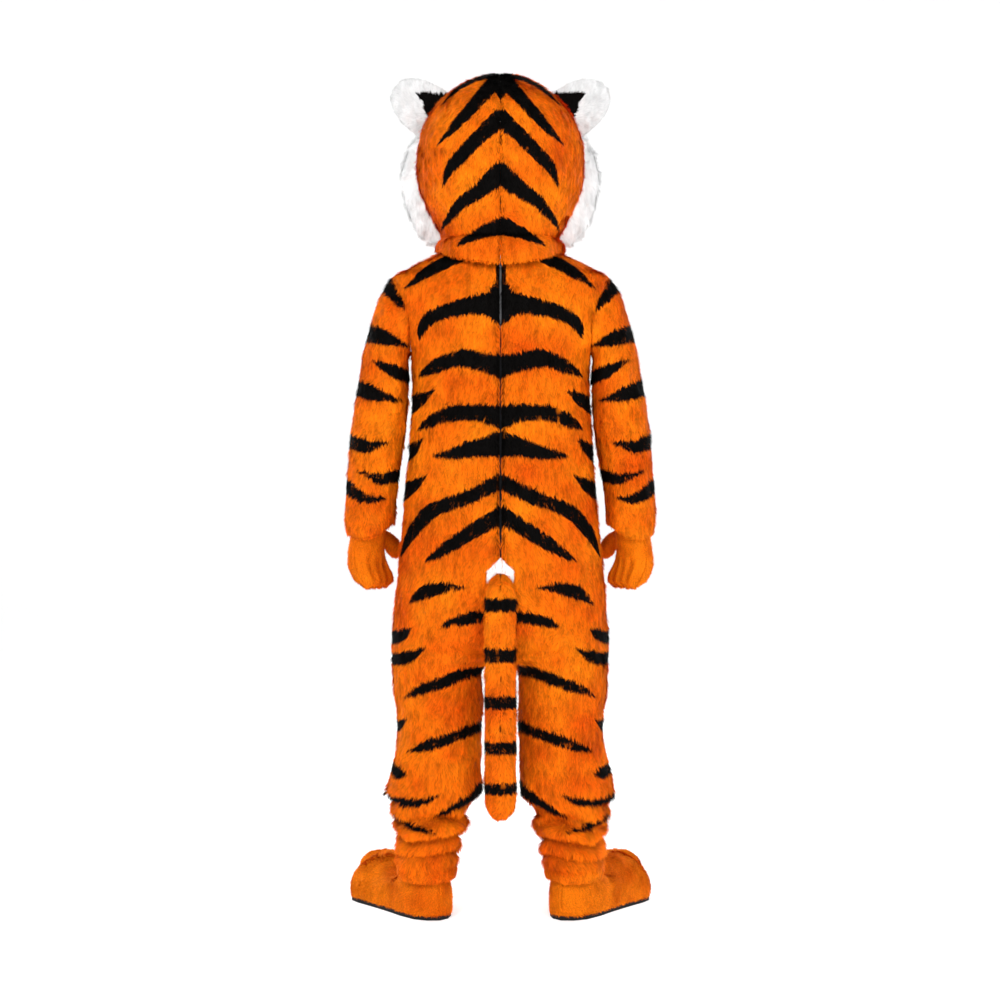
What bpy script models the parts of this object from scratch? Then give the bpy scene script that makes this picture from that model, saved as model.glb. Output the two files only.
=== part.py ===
"""Tiger mascot costume as it is worn: head with ears, ruff and neck skirt, zipped suit with
sleeves, legs and tail, two gloves and two feet. Every wall is hollow, open where the wearer
passes through. Metres, +Z up, the face looks along -Y, and the wearer's left is at +X.
"""

import math
from collections import namedtuple

import bmesh
import bpy
import numpy as np

# Driving sizes. Heights are measured from the floor under the soles.
HELD_HEIGHT = 1.456  # the shoulders that carry the suit: the frame's origin
SEAM = 0.0003  # between two pieces sewn together
CLOTH = 0.003  # plush with its backing
HEAD_WALL = 0.008  # plush over the head's foam
FOOT_WALL = 0.004
EDGE = 0.0015  # the least thickness at the rim of a padded piece
SUIT_COLUMNS = 6  # segments across one suit panel
ZIP_SLIT = 0.0034  # half the slit between the back panels
ZIP_BOTTOM = 0.786
EPSILON = 1e-4

ORANGE = (0.85, 0.22, 0.012)
WHITE = (0.86, 0.86, 0.87)
BLACK = (0.012, 0.012, 0.014)
GREY = (0.10, 0.10, 0.11)
PINK = (0.62, 0.20, 0.18)

# One ring of the left half of the suit, from the ankle to the neck. side, front and back are
# heights; a ring whose centre_x is under its half_width is cut off at the middle of the body.
SuitRing = namedtuple(
    "SuitRing", "side front back centre_x centre_y half_width front_depth back_depth squareness armhole"
)
SUIT = [
    SuitRing(0.114, 0.125, 0.111, 0.1635, 0.000, 0.0640, 0.071, 0.074, 2.1, 0),
    SuitRing(0.136, 0.143, 0.134, 0.1620, 0.000, 0.0680, 0.074, 0.078, 2.1, 0),
    SuitRing(0.156, 0.158, 0.154, 0.1600, 0.000, 0.0675, 0.073, 0.076, 2.1, 0),
    SuitRing(0.176, 0.174, 0.178, 0.1575, 0.001, 0.0715, 0.078, 0.079, 2.1, 0),
    SuitRing(0.198, 0.196, 0.200, 0.1550, 0.002, 0.0800, 0.088, 0.088, 2.1, 0),
    SuitRing(0.216, 0.214, 0.218, 0.1550, 0.002, 0.0790, 0.087, 0.087, 2.1, 0),
    SuitRing(0.232, 0.230, 0.234, 0.1605, 0.003, 0.0740, 0.080, 0.080, 2.1, 0),
    SuitRing(0.256, 0.254, 0.258, 0.1535, 0.004, 0.0880, 0.095, 0.095, 2.1, 0),
    SuitRing(0.282, 0.282, 0.282, 0.1470, 0.005, 0.1005, 0.106, 0.106, 2.2, 0),
    SuitRing(0.321, 0.321, 0.321, 0.1440, 0.006, 0.0995, 0.109, 0.108, 2.2, 0),
    SuitRing(0.386, 0.386, 0.386, 0.1360, 0.008, 0.0925, 0.109, 0.110, 2.2, 0),
    SuitRing(0.456, 0.456, 0.456, 0.1350, 0.008, 0.0930, 0.113, 0.114, 2.2, 0),
    SuitRing(0.516, 0.516, 0.516, 0.1395, 0.008, 0.0970, 0.120, 0.120, 2.2, 0),
    SuitRing(0.561, 0.561, 0.561, 0.1370, 0.008, 0.1010, 0.128, 0.128, 2.2, 0),
    SuitRing(0.586, 0.586, 0.586, 0.1190, 0.008, 0.1190, 0.132, 0.133, 2.3, 0),
    SuitRing(0.594, 0.594, 0.594, 0.1120, 0.008, 0.1260, 0.134, 0.135, 2.3, 0),
    SuitRing(0.614, 0.614, 0.614, 0.0920, 0.007, 0.1460, 0.138, 0.140, 2.3, 0),
    SuitRing(0.646, 0.646, 0.646, 0.0500, 0.006, 0.1870, 0.142, 0.147, 2.3, 0),
    SuitRing(0.686, 0.686, 0.686, 0.0150, 0.004, 0.2190, 0.146, 0.154, 2.4, 0),
    SuitRing(0.746, 0.746, 0.746, 0.0000, 0.003, 0.2285, 0.149, 0.158, 2.4, 0),
    SuitRing(0.806, 0.806, 0.806, 0.0000, 0.002, 0.2230, 0.150, 0.156, 2.4, 0),
    SuitRing(0.886, 0.886, 0.886, 0.0000, 0.000, 0.2150, 0.150, 0.149, 2.4, 0),
    SuitRing(0.971, 0.971, 0.971, 0.0000, 0.000, 0.2070, 0.149, 0.139, 2.4, 0),
    SuitRing(1.046, 1.046, 1.046, 0.0000, 0.000, 0.2030, 0.148, 0.132, 2.4, 0),
    SuitRing(1.116, 1.116, 1.116, 0.0000, 0.000, 0.1985, 0.147, 0.129, 2.4, 0),
    SuitRing(1.186, 1.186, 1.186, 0.0000, 0.000, 0.1965, 0.145, 0.130, 2.4, 0),
    SuitRing(1.256, 1.256, 1.256, 0.0000, 0.000, 0.1985, 0.141, 0.132, 2.4, 0),
    SuitRing(1.278, 1.278, 1.278, 0.0000, 0.000, 0.2100, 0.139, 0.132, 2.4, 0.050),
    SuitRing(1.311, 1.309, 1.310, 0.0000, 0.000, 0.2215, 0.135, 0.132, 2.4, 0.068),
    SuitRing(1.346, 1.340, 1.343, 0.0000, 0.000, 0.2290, 0.129, 0.130, 2.4, 0.070),
    SuitRing(1.380, 1.368, 1.373, 0.0000, 0.000, 0.2345, 0.122, 0.127, 2.4, 0.060),
    SuitRing(1.409, 1.389, 1.397, 0.0000, 0.000, 0.2390, 0.113, 0.122, 2.4, 0.038),
    SuitRing(1.427, 1.404, 1.414, 0.0000, 0.000, 0.2410, 0.104, 0.115, 2.4, 0),
    SuitRing(1.449, 1.422, 1.435, 0.0000, 0.000, 0.1980, 0.097, 0.108, 2.3, 0),
    SuitRing(1.475, 1.438, 1.457, 0.0000, 0.000, 0.1440, 0.089, 0.098, 2.2, 0),
    SuitRing(1.493, 1.452, 1.476, 0.0000, 0.000, 0.0900, 0.079, 0.084, 2.1, 0),
]
FIRST_ARMHOLE = 26  # the ring at the armpit
LAST_ARMHOLE = 32  # the ring at the shoulder point

# One ring of the left sleeve below its armhole seam: the points of its outer and inner edge.
SleeveRing = namedtuple("SleeveRing", "outer_x outer_z inner_x inner_z half_depth centre_y sag")
SLEEVE = [
    SleeveRing(0.2640, 1.391, 0.2055, 1.248, 0.070, 0.000, 0.000),
    SleeveRing(0.2800, 1.348, 0.2060, 1.231, 0.073, 0.000, 0.000),
    SleeveRing(0.3000, 1.278, 0.2055, 1.201, 0.073, -0.001, 0.000),
    SleeveRing(0.3115, 1.219, 0.2055, 1.171, 0.071, -0.002, 0.000),
    SleeveRing(0.3205, 1.166, 0.2065, 1.131, 0.068, -0.003, 0.000),
    SleeveRing(0.3350, 1.064, 0.2150, 1.054, 0.065, -0.007, 0.000),
    SleeveRing(0.3430, 0.971, 0.2300, 0.976, 0.061, -0.013, 0.003),
    SleeveRing(0.3480, 0.901, 0.2360, 0.916, 0.059, -0.018, 0.010),
    SleeveRing(0.3440, 0.854, 0.2375, 0.879, 0.058, -0.021, 0.020),
]

# One ring of the head's shell, an oval around the middle.
HeadRing = namedtuple("HeadRing", "z half_width back_depth front_depth squareness")
HEAD = [
    HeadRing(1.511, 0.1280, 0.120, 0.124, 2.15),
    HeadRing(1.540, 0.1430, 0.139, 0.144, 2.15),
    HeadRing(1.576, 0.1615, 0.159, 0.164, 2.15),
    HeadRing(1.614, 0.1770, 0.175, 0.179, 2.15),
    HeadRing(1.652, 0.1845, 0.183, 0.186, 2.15),
    HeadRing(1.694, 0.1850, 0.185, 0.187, 2.15),
    HeadRing(1.738, 0.1780, 0.179, 0.180, 2.12),
    HeadRing(1.780, 0.1605, 0.164, 0.164, 2.10),
    HeadRing(1.822, 0.1290, 0.135, 0.133, 2.05),
    HeadRing(1.855, 0.0850, 0.091, 0.089, 2.00),
    HeadRing(1.871, 0.0470, 0.051, 0.049, 2.00),
    HeadRing(1.878, 0.0000, 0.000, 0.000, 2.00),
]
HEAD_SIDE = math.radians(100)  # the side seam, counted from the middle of the back

# The skirt that hides the neck, from the head's lower edge to its hem.
SkirtRing = namedtuple("SkirtRing", "side front back half_width front_depth back_depth")
SKIRT = [
    SkirtRing(1.5107, 1.5107, 1.5107, 0.1275, 0.1235, 0.1195),
    SkirtRing(1.5030, 1.4970, 1.4970, 0.1370, 0.1310, 0.1290),
    SkirtRing(1.4950, 1.4760, 1.4740, 0.1425, 0.1330, 0.1330),
    SkirtRing(1.4860, 1.4500, 1.4480, 0.1440, 0.1320, 0.1320),
]
SKIRT_SQUARENESS = 2.2

# One rib of a foot's upper, from the sole up to the opening or to the ridge over the toes.
# along runs from the heel to the toes, and out is away from the foot's middle line.
FootRib = namedtuple("FootRib", "along out top_along top_out top_z roundness")
FOOT = [
    FootRib(-0.053, 0.000, -0.042, 0.000, 0.095, 2.35),
    FootRib(-0.041, 0.027, -0.029, 0.019, 0.095, 2.35),
    FootRib(-0.014, 0.047, -0.010, 0.034, 0.093, 2.35),
    FootRib(0.035, 0.057, 0.022, 0.042, 0.088, 2.35),
    FootRib(0.090, 0.061, 0.048, 0.030, 0.084, 2.35),
    FootRib(0.140, 0.067, 0.062, 0.014, 0.083, 2.30),
    FootRib(0.180, 0.073, 0.068, 0.000, 0.083, 2.25),
    FootRib(0.222, 0.080, 0.115, 0.000, 0.103, 2.05),
    FootRib(0.255, 0.080, 0.158, 0.000, 0.113, 1.90),
    FootRib(0.277, 0.066, 0.196, 0.000, 0.115, 1.80),
    FootRib(0.284, 0.043, 0.222, 0.000, 0.114, 1.75),
    FootRib(0.306, 0.041, 0.246, 0.000, 0.113, 2.25),
    FootRib(0.318, 0.027, 0.270, 0.000, 0.104, 2.35),
    FootRib(0.320, 0.011, 0.288, 0.000, 0.086, 2.35),
    FootRib(0.316, 0.000, 0.305, 0.000, 0.066, 2.35),
]
FOOT_SWELL = 0.10  # how far the sides stand out over the sole, as a share of their slope
FOOT_COLUMNS = 5
OPENING_RIB = 6  # the last rib that ends at the foot's opening
HEEL = (0.158, 0.006)
TOE_OUT = math.radians(27)
SOLE_THICKNESS = 0.010

# The left glove, one oval below the other from the wrist to the fingertips. fingers is how much the
# oval is parted into fingers, and thumb_hole is half the opening in its front edge.
HandRing = namedtuple("HandRing", "z centre_x centre_y half_thick half_wide fingers thumb_hole")
HAND = [
    HandRing(0.886, 0.2960, -0.020, 0.0340, 0.0400, 0.0, 0.000),
    HandRing(0.866, 0.2960, -0.022, 0.0340, 0.0420, 0.0, 0.000),
    HandRing(0.854, 0.2965, -0.023, 0.0340, 0.0435, 0.0, 0.013),
    HandRing(0.840, 0.2980, -0.024, 0.0335, 0.0460, 0.0, 0.018),
    HandRing(0.826, 0.3000, -0.025, 0.0330, 0.0485, 0.0, 0.013),
    HandRing(0.814, 0.3010, -0.026, 0.0325, 0.0505, 0.0, 0.000),
    HandRing(0.794, 0.3000, -0.028, 0.0310, 0.0530, 0.3, 0.000),
    HandRing(0.774, 0.2950, -0.030, 0.0285, 0.0545, 0.8, 0.000),
    HandRing(0.754, 0.2860, -0.031, 0.0260, 0.0540, 1.0, 0.000),
    HandRing(0.744, 0.2810, -0.031, 0.0210, 0.0510, 1.0, 0.000),
]
FINGERTIP = HandRing(0.731, 0.2780, -0.031, 0.0000, 0.0475, 1.0, 0.000)
FINGER_COUNT = 4
FINGER_COLUMNS = 3
CREASE = 0.32  # the glove's thickness between two fingers, as a share of a finger's
TIP_RISE = 0.003  # the seam at the fingertips rises this much between the fingers
PALM_TURN = math.radians(60)  # the palm faces back and towards the leg
GLOVE_WALL = 0.002
# The thumb beyond its hole: the middle of each ring and its radius.
ThumbRing = namedtuple("ThumbRing", "x y z radius")
THUMB = [
    ThumbRing(0.2560, -0.076, 0.8360, 0.0185), ThumbRing(0.2450, -0.082, 0.8230, 0.0180),
    ThumbRing(0.2400, -0.085, 0.8100, 0.0140), ThumbRing(0.2370, -0.087, 0.8000, 0.0070),
]

# The tail hangs behind the legs: heights, radii and the depth of its middle.
TailRing = namedtuple("TailRing", "z radius centre_y")
TAIL = [
    TailRing(0.771, 0.0080, 0.1760), TailRing(0.761, 0.0200, 0.1850), TailRing(0.741, 0.0290, 0.1935),
    TailRing(0.700, 0.0325, 0.1970), TailRing(0.600, 0.0330, 0.1960), TailRing(0.450, 0.0325, 0.1950),
    TailRing(0.330, 0.0330, 0.1945), TailRing(0.282, 0.0320, 0.1945), TailRing(0.260, 0.0250, 0.1945),
    TailRing(0.249, 0.0130, 0.1945),
]
TAIL_SIDES = 12

# Padded pieces that sit on the head: where their middle is, their half sizes and how far they stand out.
HeadPad = namedtuple("HeadPad", "side_x z half_across half_up stands_out")
EYE = HeadPad(0.070, 1.698, 0.030, 0.036, 0.012)
PUPIL = HeadPad(0.066, 1.694, 0.013, 0.018, 0.004)
MUZZLE = HeadPad(0.000, 1.610, 0.086, 0.045, 0.068)
CHIN = HeadPad(0.000, 1.540, 0.046, 0.0225, 0.046)
NOSE = HeadPad(0.000, 1.628, 0.028, 0.016, 0.012)
PAD_GAP = 0.0020
PAD_RINGS = 4
PAD_SECTORS = 12

# The ruff runs down the side of the face: how far round the head and how far it stands out.
RuffRow = namedtuple("RuffRow", "z back_angle front_angle stands_out")
RUFF = [
    RuffRow(1.741, 98, 110, 0.010), RuffRow(1.714, 97, 121, 0.026), RuffRow(1.678, 97, 128, 0.038),
    RuffRow(1.641, 97, 132, 0.043), RuffRow(1.606, 97, 133, 0.045), RuffRow(1.571, 97, 132, 0.045),
    RuffRow(1.542, 98, 130, 0.040), RuffRow(1.515, 99, 122, 0.027),
]
RUFF_COLUMNS = 5

# The ears stand on the head along a line from EAR_LOW to EAR_HIGH.
EAR_LOW, EAR_HIGH = 1.757, 1.826  # heights of the ends of an ear's base
EAR_DEPTH = -0.030  # how far in front of the middle an ear stands
EAR_REACH = 0.110
EAR_HALF_THICK = 0.015
EAR_HALF_SPREAD = 0.056
EAR_GAP = 0.0022  # the nap of the head under an ear's edge
EAR_POINTS = 9


CURVES = {}  # tables as arrays, by their first row


def smooth_rows(table, level):
    """The table's columns at a fractional row, on a curve through every row."""
    values = CURVES.setdefault(table[0], np.array(table, float))
    last = len(values) - 1
    low = int(min(max(math.floor(level), 0), last - 1))
    part = min(max(level - low, 0.0), 1.0)
    before, after = values[max(low - 1, 0)], values[min(low + 2, last)]
    start, end = values[low], values[low + 1]
    slope_in, slope_out = (end - before) / 2, (after - start) / 2
    return (
        start * (1 + 2 * part) * (1 - part) ** 2
        + slope_in * part * (1 - part) ** 2
        + end * part**2 * (3 - 2 * part)
        + slope_out * part**2 * (part - 1)
    )


def power(value, exponent):
    return math.copysign(abs(value) ** exponent, value)


def suit_point(level, angle):
    """A point on the suit's left half. angle is 0 at the inseam and a quarter turn at the front."""
    ring = SuitRing(*smooth_rows(SUIT, level))
    bend = 2 / ring.squareness
    across, deep = power(math.cos(angle), bend), abs(math.sin(angle)) ** bend
    in_front = angle < math.pi
    depth = -ring.front_depth if in_front else ring.back_depth
    middle = ring.front if in_front else ring.back
    height = ring.side + (middle - ring.side) * deep**2
    return np.array([ring.centre_x - ring.half_width * across, ring.centre_y + depth * deep, height])


def head_point(z, angle):
    """A point on the head's shell. angle is 0 at the middle of the back and 180 degrees at the nose."""
    heights = [ring.z for ring in HEAD]
    level = np.interp(z, heights, range(len(HEAD)))
    ring = HeadRing(*smooth_rows(HEAD, level))
    bend = 2 / ring.squareness
    depth = ring.back_depth if math.cos(angle) > 0 else ring.front_depth
    return np.array([
        ring.half_width * power(math.sin(angle), bend),
        depth * power(math.cos(angle), bend),
        z,
    ])


def unit(vector):
    return vector / max(np.linalg.norm(vector), 1e-12)


def suit_normal(level, angle):
    angle = min(max(angle, EPSILON * 20), 2 * math.pi - EPSILON * 20)
    step = 0.02
    around = suit_point(level, angle + step / 2) - suit_point(level, angle - step / 2)
    up = suit_point(min(level + step, len(SUIT) - 1), angle) - suit_point(max(level - step, 0), angle)
    return unit(np.cross(around, up))


def head_normal(z, angle):
    low, high = max(z - 0.004, HEAD[0].z), min(z + 0.004, HEAD[-1].z - 0.001)
    around = head_point(z, angle + 0.01) - head_point(z, angle - 0.01)
    up = head_point(high, angle) - head_point(low, angle)
    return unit(np.cross(up, around))


def material(name, colour, roughness):
    made = bpy.data.materials.get(name) or bpy.data.materials.new(name)
    made.use_nodes = True
    shader = made.node_tree.nodes["Principled BSDF"]
    shader.inputs["Base Color"].default_value = (*colour, 1)
    shader.inputs["Roughness"].default_value = roughness
    shader.inputs["Metallic"].default_value = 0.0
    return made


def solid(name, points, faces, finish, mirrored=False):
    """One closed solid from points and faces; mirrored puts it on the wearer's right."""
    mesh = bpy.data.meshes.new(name)
    flip = -1.0 if mirrored else 1.0
    mesh.from_pydata([(p[0] * flip, p[1], p[2]) for p in points], [], faces)
    shape = bmesh.new()
    shape.from_mesh(mesh)
    bmesh.ops.remove_doubles(shape, verts=shape.verts, dist=1e-6)
    bmesh.ops.dissolve_degenerate(shape, edges=shape.edges, dist=1e-6)
    bmesh.ops.recalc_face_normals(shape, faces=shape.faces)
    if shape.calc_volume(signed=True) < 0:
        bmesh.ops.reverse_faces(shape, faces=shape.faces)
    shape.to_mesh(mesh)
    shape.free()
    mesh.materials.append(finish)
    mesh.shade_smooth()
    mesh.set_sharp_from_angle(angle=math.radians(50))
    made = bpy.data.objects.new(name, mesh)
    bpy.context.scene.collection.objects.link(made)
    made.parent = WORN
    return made


def wall(name, outer, inner, finish, mirrored=False, closed=False):
    """A closed wall between two grids of points; closed joins the last column to the first."""
    rows, columns = outer.shape[:2]
    points = np.concatenate([outer.reshape(-1, 3), inner.reshape(-1, 3)])
    shift = rows * columns
    across = columns if closed else columns - 1

    def at(row, column, layer):
        return layer * shift + row * columns + column % columns

    faces = []
    for row in range(rows - 1):
        for column in range(across):
            corners = [(row, column), (row, column + 1), (row + 1, column + 1), (row + 1, column)]
            faces.append([at(r, c, 0) for r, c in corners])
            faces.append([at(r, c, 1) for r, c in reversed(corners)])
    for column in range(across):
        for row in (0, rows - 1):
            beside = column + 1
            faces.append([at(row, column, 0), at(row, beside, 0), at(row, beside, 1), at(row, column, 1)])
    if not closed:
        for row in range(rows - 1):
            for column in (0, columns - 1):
                rim = [(row, 0), (row + 1, 0), (row + 1, 1), (row, 1)]
                faces.append([at(r, column, layer) for r, layer in rim])
    return solid(name, points, faces, finish, mirrored)


def capped_tube(name, outer, inner, finish, mirrored=False):
    """A closed wall whose grids both end in a point, so only its first ring is a rim."""
    rows, columns = outer.shape[:2]
    layers = np.concatenate([outer[::-1], inner])
    points = layers.reshape(-1, 3)
    faces = []
    for row in range(2 * rows - 1):
        for column in range(columns):
            beside = (column + 1) % columns
            faces.append([row * columns + column, row * columns + beside,
                          (row + 1) * columns + beside, (row + 1) * columns + column])
    return solid(name, points, faces, finish, mirrored)


def drawn_in(grid, gap, first=True, last=True):
    """The grid with its first and last column moved inwards by a gap."""
    grid = grid.copy()
    for wanted, edge, beside in ((first, 0, 1), (last, -1, -2)):
        if wanted:
            for row in range(len(grid)):
                grid[row, edge] += unit(grid[row, beside] - grid[row, edge]) * gap
    return grid


def kept_off_middle(grid, least):
    grid = grid.copy()
    grid[..., 0] = np.maximum(grid[..., 0], least)
    return grid


def suit_angles(ring):
    """(first, side) angles of a ring's front panel: where it meets the body's middle, and its side edge."""
    share = min(max(ring.centre_x / ring.half_width, 0.0), 1.0)
    return math.acos(share ** (ring.squareness / 2)), math.pi


def suit_grids(front):
    """Outer and inner points of the left front or back panel, from the ankle to the neck."""
    outer, inner = [], []
    for level, ring in enumerate(SUIT):
        first, side = suit_angles(ring)
        depth = ring.front_depth if front else ring.back_depth
        cut = math.asin((ring.armhole / depth) ** (ring.squareness / 2))
        angles = np.linspace(first, side - cut, SUIT_COLUMNS + 1)
        if not front:
            angles = 2 * math.pi - angles
        points = np.array([suit_point(level, angle) for angle in angles])
        normals = np.array([suit_normal(level, angle) for angle in angles])
        outer.append(points)
        inner.append(points - normals * CLOTH)
    return np.array(outer), np.array(inner)


def build_suit(finish):
    for front, word in ((True, "front"), (False, "back")):
        outer, inner = suit_grids(front)
        least = np.full(len(SUIT), SEAM / 2)
        if not front:
            least[[ring.back > ZIP_BOTTOM for ring in SUIT]] = ZIP_SLIT
        outer, inner = (drawn_in(grid, SEAM / 2) for grid in (outer, inner))
        for grid in (outer, inner):
            grid[..., 0] = np.maximum(grid[..., 0], least[:, None])
        for side, mirrored in (("left", False), ("right", True)):
            wall(f"suit_{word}_{side}", outer, inner, finish, mirrored)


def armhole_ring():
    """The points of the armhole seam, from the armpit up the back, over the shoulder, down the front."""
    back, front = suit_grids(False)[0], suit_grids(True)[0]
    rows = range(FIRST_ARMHOLE, LAST_ARMHOLE + 1)
    up = [back[row, -1] for row in rows]
    down = [front[row, -1] for row in reversed(rows)]
    return np.array(up + down[1:-1])


def sleeve_grid():
    """The sleeve's outer points. The first ring is the armhole, moved off it by the seam."""
    start = armhole_ring()
    low, high = start[0], start[LAST_ARMHOLE - FIRST_ARMHOLE]
    middle, half_up = (low + high) / 2, np.linalg.norm((high - low)[[0, 2]]) / 2
    up = unit((high - low) * np.array([1, 0, 1]))
    half_deep = max(abs(p[1] - middle[1]) for p in start)
    turns = [math.atan2((p[1] - middle[1]) / half_deep, (p - middle) @ up / half_up) for p in start]
    rings = [start + np.array([SEAM * 4, 0, 0])]
    for ring in SLEEVE:
        outer, inner = np.array([ring.outer_x, 0, ring.outer_z]), np.array([ring.inner_x, 0, ring.inner_z])
        centre, half = (outer + inner) / 2, (outer - inner) / 2
        rings.append(np.array([
            centre + half * math.cos(turn)
            + np.array([0, ring.centre_y + ring.half_depth * math.sin(turn),
                        -ring.sag * math.sin(turn) ** 2 * (1.0 if math.sin(turn) > 0 else 0.2)])
            for turn in turns
        ]))
    return np.array(rings)


def grid_normals(grid):
    """Outward normals of a tube's points, whose columns run round it."""
    along = np.gradient(grid, axis=0)
    around = np.roll(grid, -1, axis=1) - np.roll(grid, 1, axis=1)
    normals = np.cross(around, along)
    normals /= np.maximum(np.linalg.norm(normals, axis=2, keepdims=True), 1e-12)
    outward = (grid - grid.mean(axis=1, keepdims=True)) * normals
    return normals * np.sign(outward.sum())


def seamed(grid):
    """A tube's grid cut open at its first column, with the seam's gap between the two edges."""
    opened = np.concatenate([grid, grid[:, :1]], axis=1)
    return drawn_in(opened, SEAM / 2)


def build_sleeves(finish):
    outer = sleeve_grid()
    inner = outer - grid_normals(outer) * CLOTH
    for side, mirrored in (("left", False), ("right", True)):
        wall(f"sleeve_{side}", seamed(outer), seamed(inner), finish, mirrored)


def build_ankle_cuffs(finish):
    """The hem band under each leg, one seam's gap below the leg's panels."""
    ring = SUIT[0]
    rows = ((SEAM, 0.0), (0.012, 0.0015), (0.026, -0.0015))  # how far down and how far it swells
    count = 2 * SUIT_COLUMNS
    angles = np.linspace(0, 2 * math.pi, count, endpoint=False)
    bend = 2 / ring.squareness

    def oval(drop, extra):
        points = []
        for angle in angles:
            deep = abs(math.sin(angle)) ** bend
            middle = ring.front if math.sin(angle) > 0 else ring.back
            points.append((ring.centre_x - (ring.half_width + extra) * power(math.cos(angle), bend),
                           -(ring.front_depth + extra) * power(math.sin(angle), bend),
                           ring.side + (middle - ring.side) * deep**2 - drop))
        return points

    outer = np.array([oval(drop, extra) for drop, extra in rows])
    inner = np.array([oval(drop, extra - CLOTH) for drop, extra in rows])
    for side, mirrored in (("left", False), ("right", True)):
        wall(f"ankle_cuff_{side}", outer, inner, finish, mirrored, closed=True)


def head_grids(first, last, columns):
    """Outer and inner points of a head panel between two angles, from the neck to the crown."""
    heights = [ring.z for ring in HEAD[:-1]]
    angles = np.linspace(first, last, columns + 1)
    outer = np.array([[head_point(z, angle) for angle in angles] for z in heights])
    normals = np.array([[head_normal(z, angle) for angle in angles] for z in heights])
    inner = outer - normals * HEAD_WALL
    crown = np.repeat([[[0.0, 0.0, HEAD[-1].z]]], columns + 1, axis=1)
    return np.concatenate([outer, crown]), np.concatenate([inner, crown - [0, 0, HEAD_WALL]])


def build_head(finish):
    for word, first, last, columns in (("back", 0, HEAD_SIDE, 7), ("front", HEAD_SIDE, math.pi, 6)):
        outer, inner = head_grids(first, last, columns)
        middle = 0 if word == "back" else -1
        shift = SEAM if word == "back" else -SEAM
        for grid in (outer, inner):
            grid[:-1] = drawn_in(grid[:-1], SEAM / 2)
            grid[..., 0] = np.maximum(grid[..., 0], SEAM / 2)
            grid[:-1, middle, 0] = SEAM / 2
            grid[-1, :, 1] += shift
        for side, mirrored in (("left", False), ("right", True)):
            wall(f"head_{word}_{side}", outer, inner, finish, mirrored)


def build_neck_skirt(finish):
    """The flared skirt under the head, in two halves with a seam at the back and at the front."""
    angles = np.linspace(0, math.pi, 13)
    bend = 2 / SKIRT_SQUARENESS

    def grid(inset):
        rows = []
        for ring in SKIRT:
            row = []
            for angle in angles:
                across, deep = math.sin(angle) ** bend, power(math.cos(angle), bend)
                at_back = math.cos(angle) > 0
                depth = (ring.back_depth if at_back else ring.front_depth) - inset
                middle = ring.back if at_back else ring.front
                row.append(((ring.half_width - inset) * across, depth * deep,
                            ring.side + (middle - ring.side) * deep**2))
            rows.append(row)
        return kept_off_middle(np.array(rows), SEAM / 2)

    for side, mirrored in (("left", False), ("right", True)):
        wall(f"neck_skirt_{side}", grid(0), grid(CLOTH), finish, mirrored)


def pad_angle(pad):
    """How far round the head the middle of a pad is."""
    angles = np.linspace(math.pi / 2, math.pi, 200)
    across = [head_point(pad.z, angle)[0] for angle in angles]
    return float(np.interp(pad.side_x, across[::-1], angles[::-1]))


def pad_height(pad, angle, z):
    """How far the top of a pad stands off the head at a place."""
    half_angle = pad.half_across / head_point(pad.z, math.pi / 2)[0]
    off = ((angle - pad_angle(pad)) / half_angle) ** 2 + ((z - pad.z) / pad.half_up) ** 2
    return PAD_GAP + EDGE + pad.stands_out * math.sqrt(max(0.0, 1 - off))


def build_pad(name, pad, finish, under=None, mirrored=False):
    """A padded piece on the head, or on the pad under it."""
    half_angle = pad.half_across / head_point(pad.z, math.pi / 2)[0]
    rings = []
    for layer in (0, 1):
        for step in range(PAD_RINGS + 1):
            share = math.sin(step / PAD_RINGS * math.pi / 2)
            rise = layer * (EDGE + pad.stands_out * math.sqrt(max(0.0, 1 - share**2)))
            ring = []
            for sector in range(PAD_SECTORS):
                turn = 2 * math.pi * sector / PAD_SECTORS
                angle = pad_angle(pad) + half_angle * share * math.cos(turn)
                z = pad.z + pad.half_up * share * math.sin(turn)
                below = pad_height(under, angle, z) if under else 0
                ring.append(head_point(z, angle) + head_normal(z, angle) * (below + PAD_GAP + rise))
            rings.append(ring)
    order = [*range(PAD_RINGS + 1), *range(2 * PAD_RINGS + 1, PAD_RINGS, -1)]
    points = [p for index in order for p in rings[index]]
    faces = []
    for row in range(len(order) - 1):
        for column in range(PAD_SECTORS):
            beside = (column + 1) % PAD_SECTORS
            faces.append([row * PAD_SECTORS + column, row * PAD_SECTORS + beside,
                          (row + 1) * PAD_SECTORS + beside, (row + 1) * PAD_SECTORS + column])
    return solid(name, points, faces, finish, mirrored)


def build_face(white, black, pink):
    for side, mirrored in (("left", False), ("right", True)):
        build_pad(f"eye_{side}", EYE, white, mirrored=mirrored)
        build_pad(f"pupil_{side}", PUPIL, black, under=EYE, mirrored=mirrored)
    build_pad("muzzle", MUZZLE, white)
    build_pad("chin", CHIN, white)
    build_pad("nose", NOSE, pink, under=MUZZLE)


def build_ruff(finish):
    """The white cheek fur, whose solid is the fur's whole reach."""
    base, top = [], []
    for row in RUFF:
        angles = np.radians(np.linspace(row.back_angle, row.front_angle, RUFF_COLUMNS + 1))
        line_base, line_top = [], []
        for share, angle in zip(np.linspace(0, 1, RUFF_COLUMNS + 1), angles):
            normal = head_normal(row.z, angle)
            place = head_point(row.z, angle) + normal * PAD_GAP
            bulge = EDGE + row.stands_out * math.sin(math.pi * share**0.8) ** 0.7
            line_base.append(place)
            line_top.append(place + unit(normal + np.array([0.5, 0, -0.1])) * bulge)
        base.append(line_base)
        top.append(line_top)
    for side, mirrored in (("left", False), ("right", True)):
        wall(f"ruff_{side}", np.array(top), np.array(base), finish, mirrored)


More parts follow.
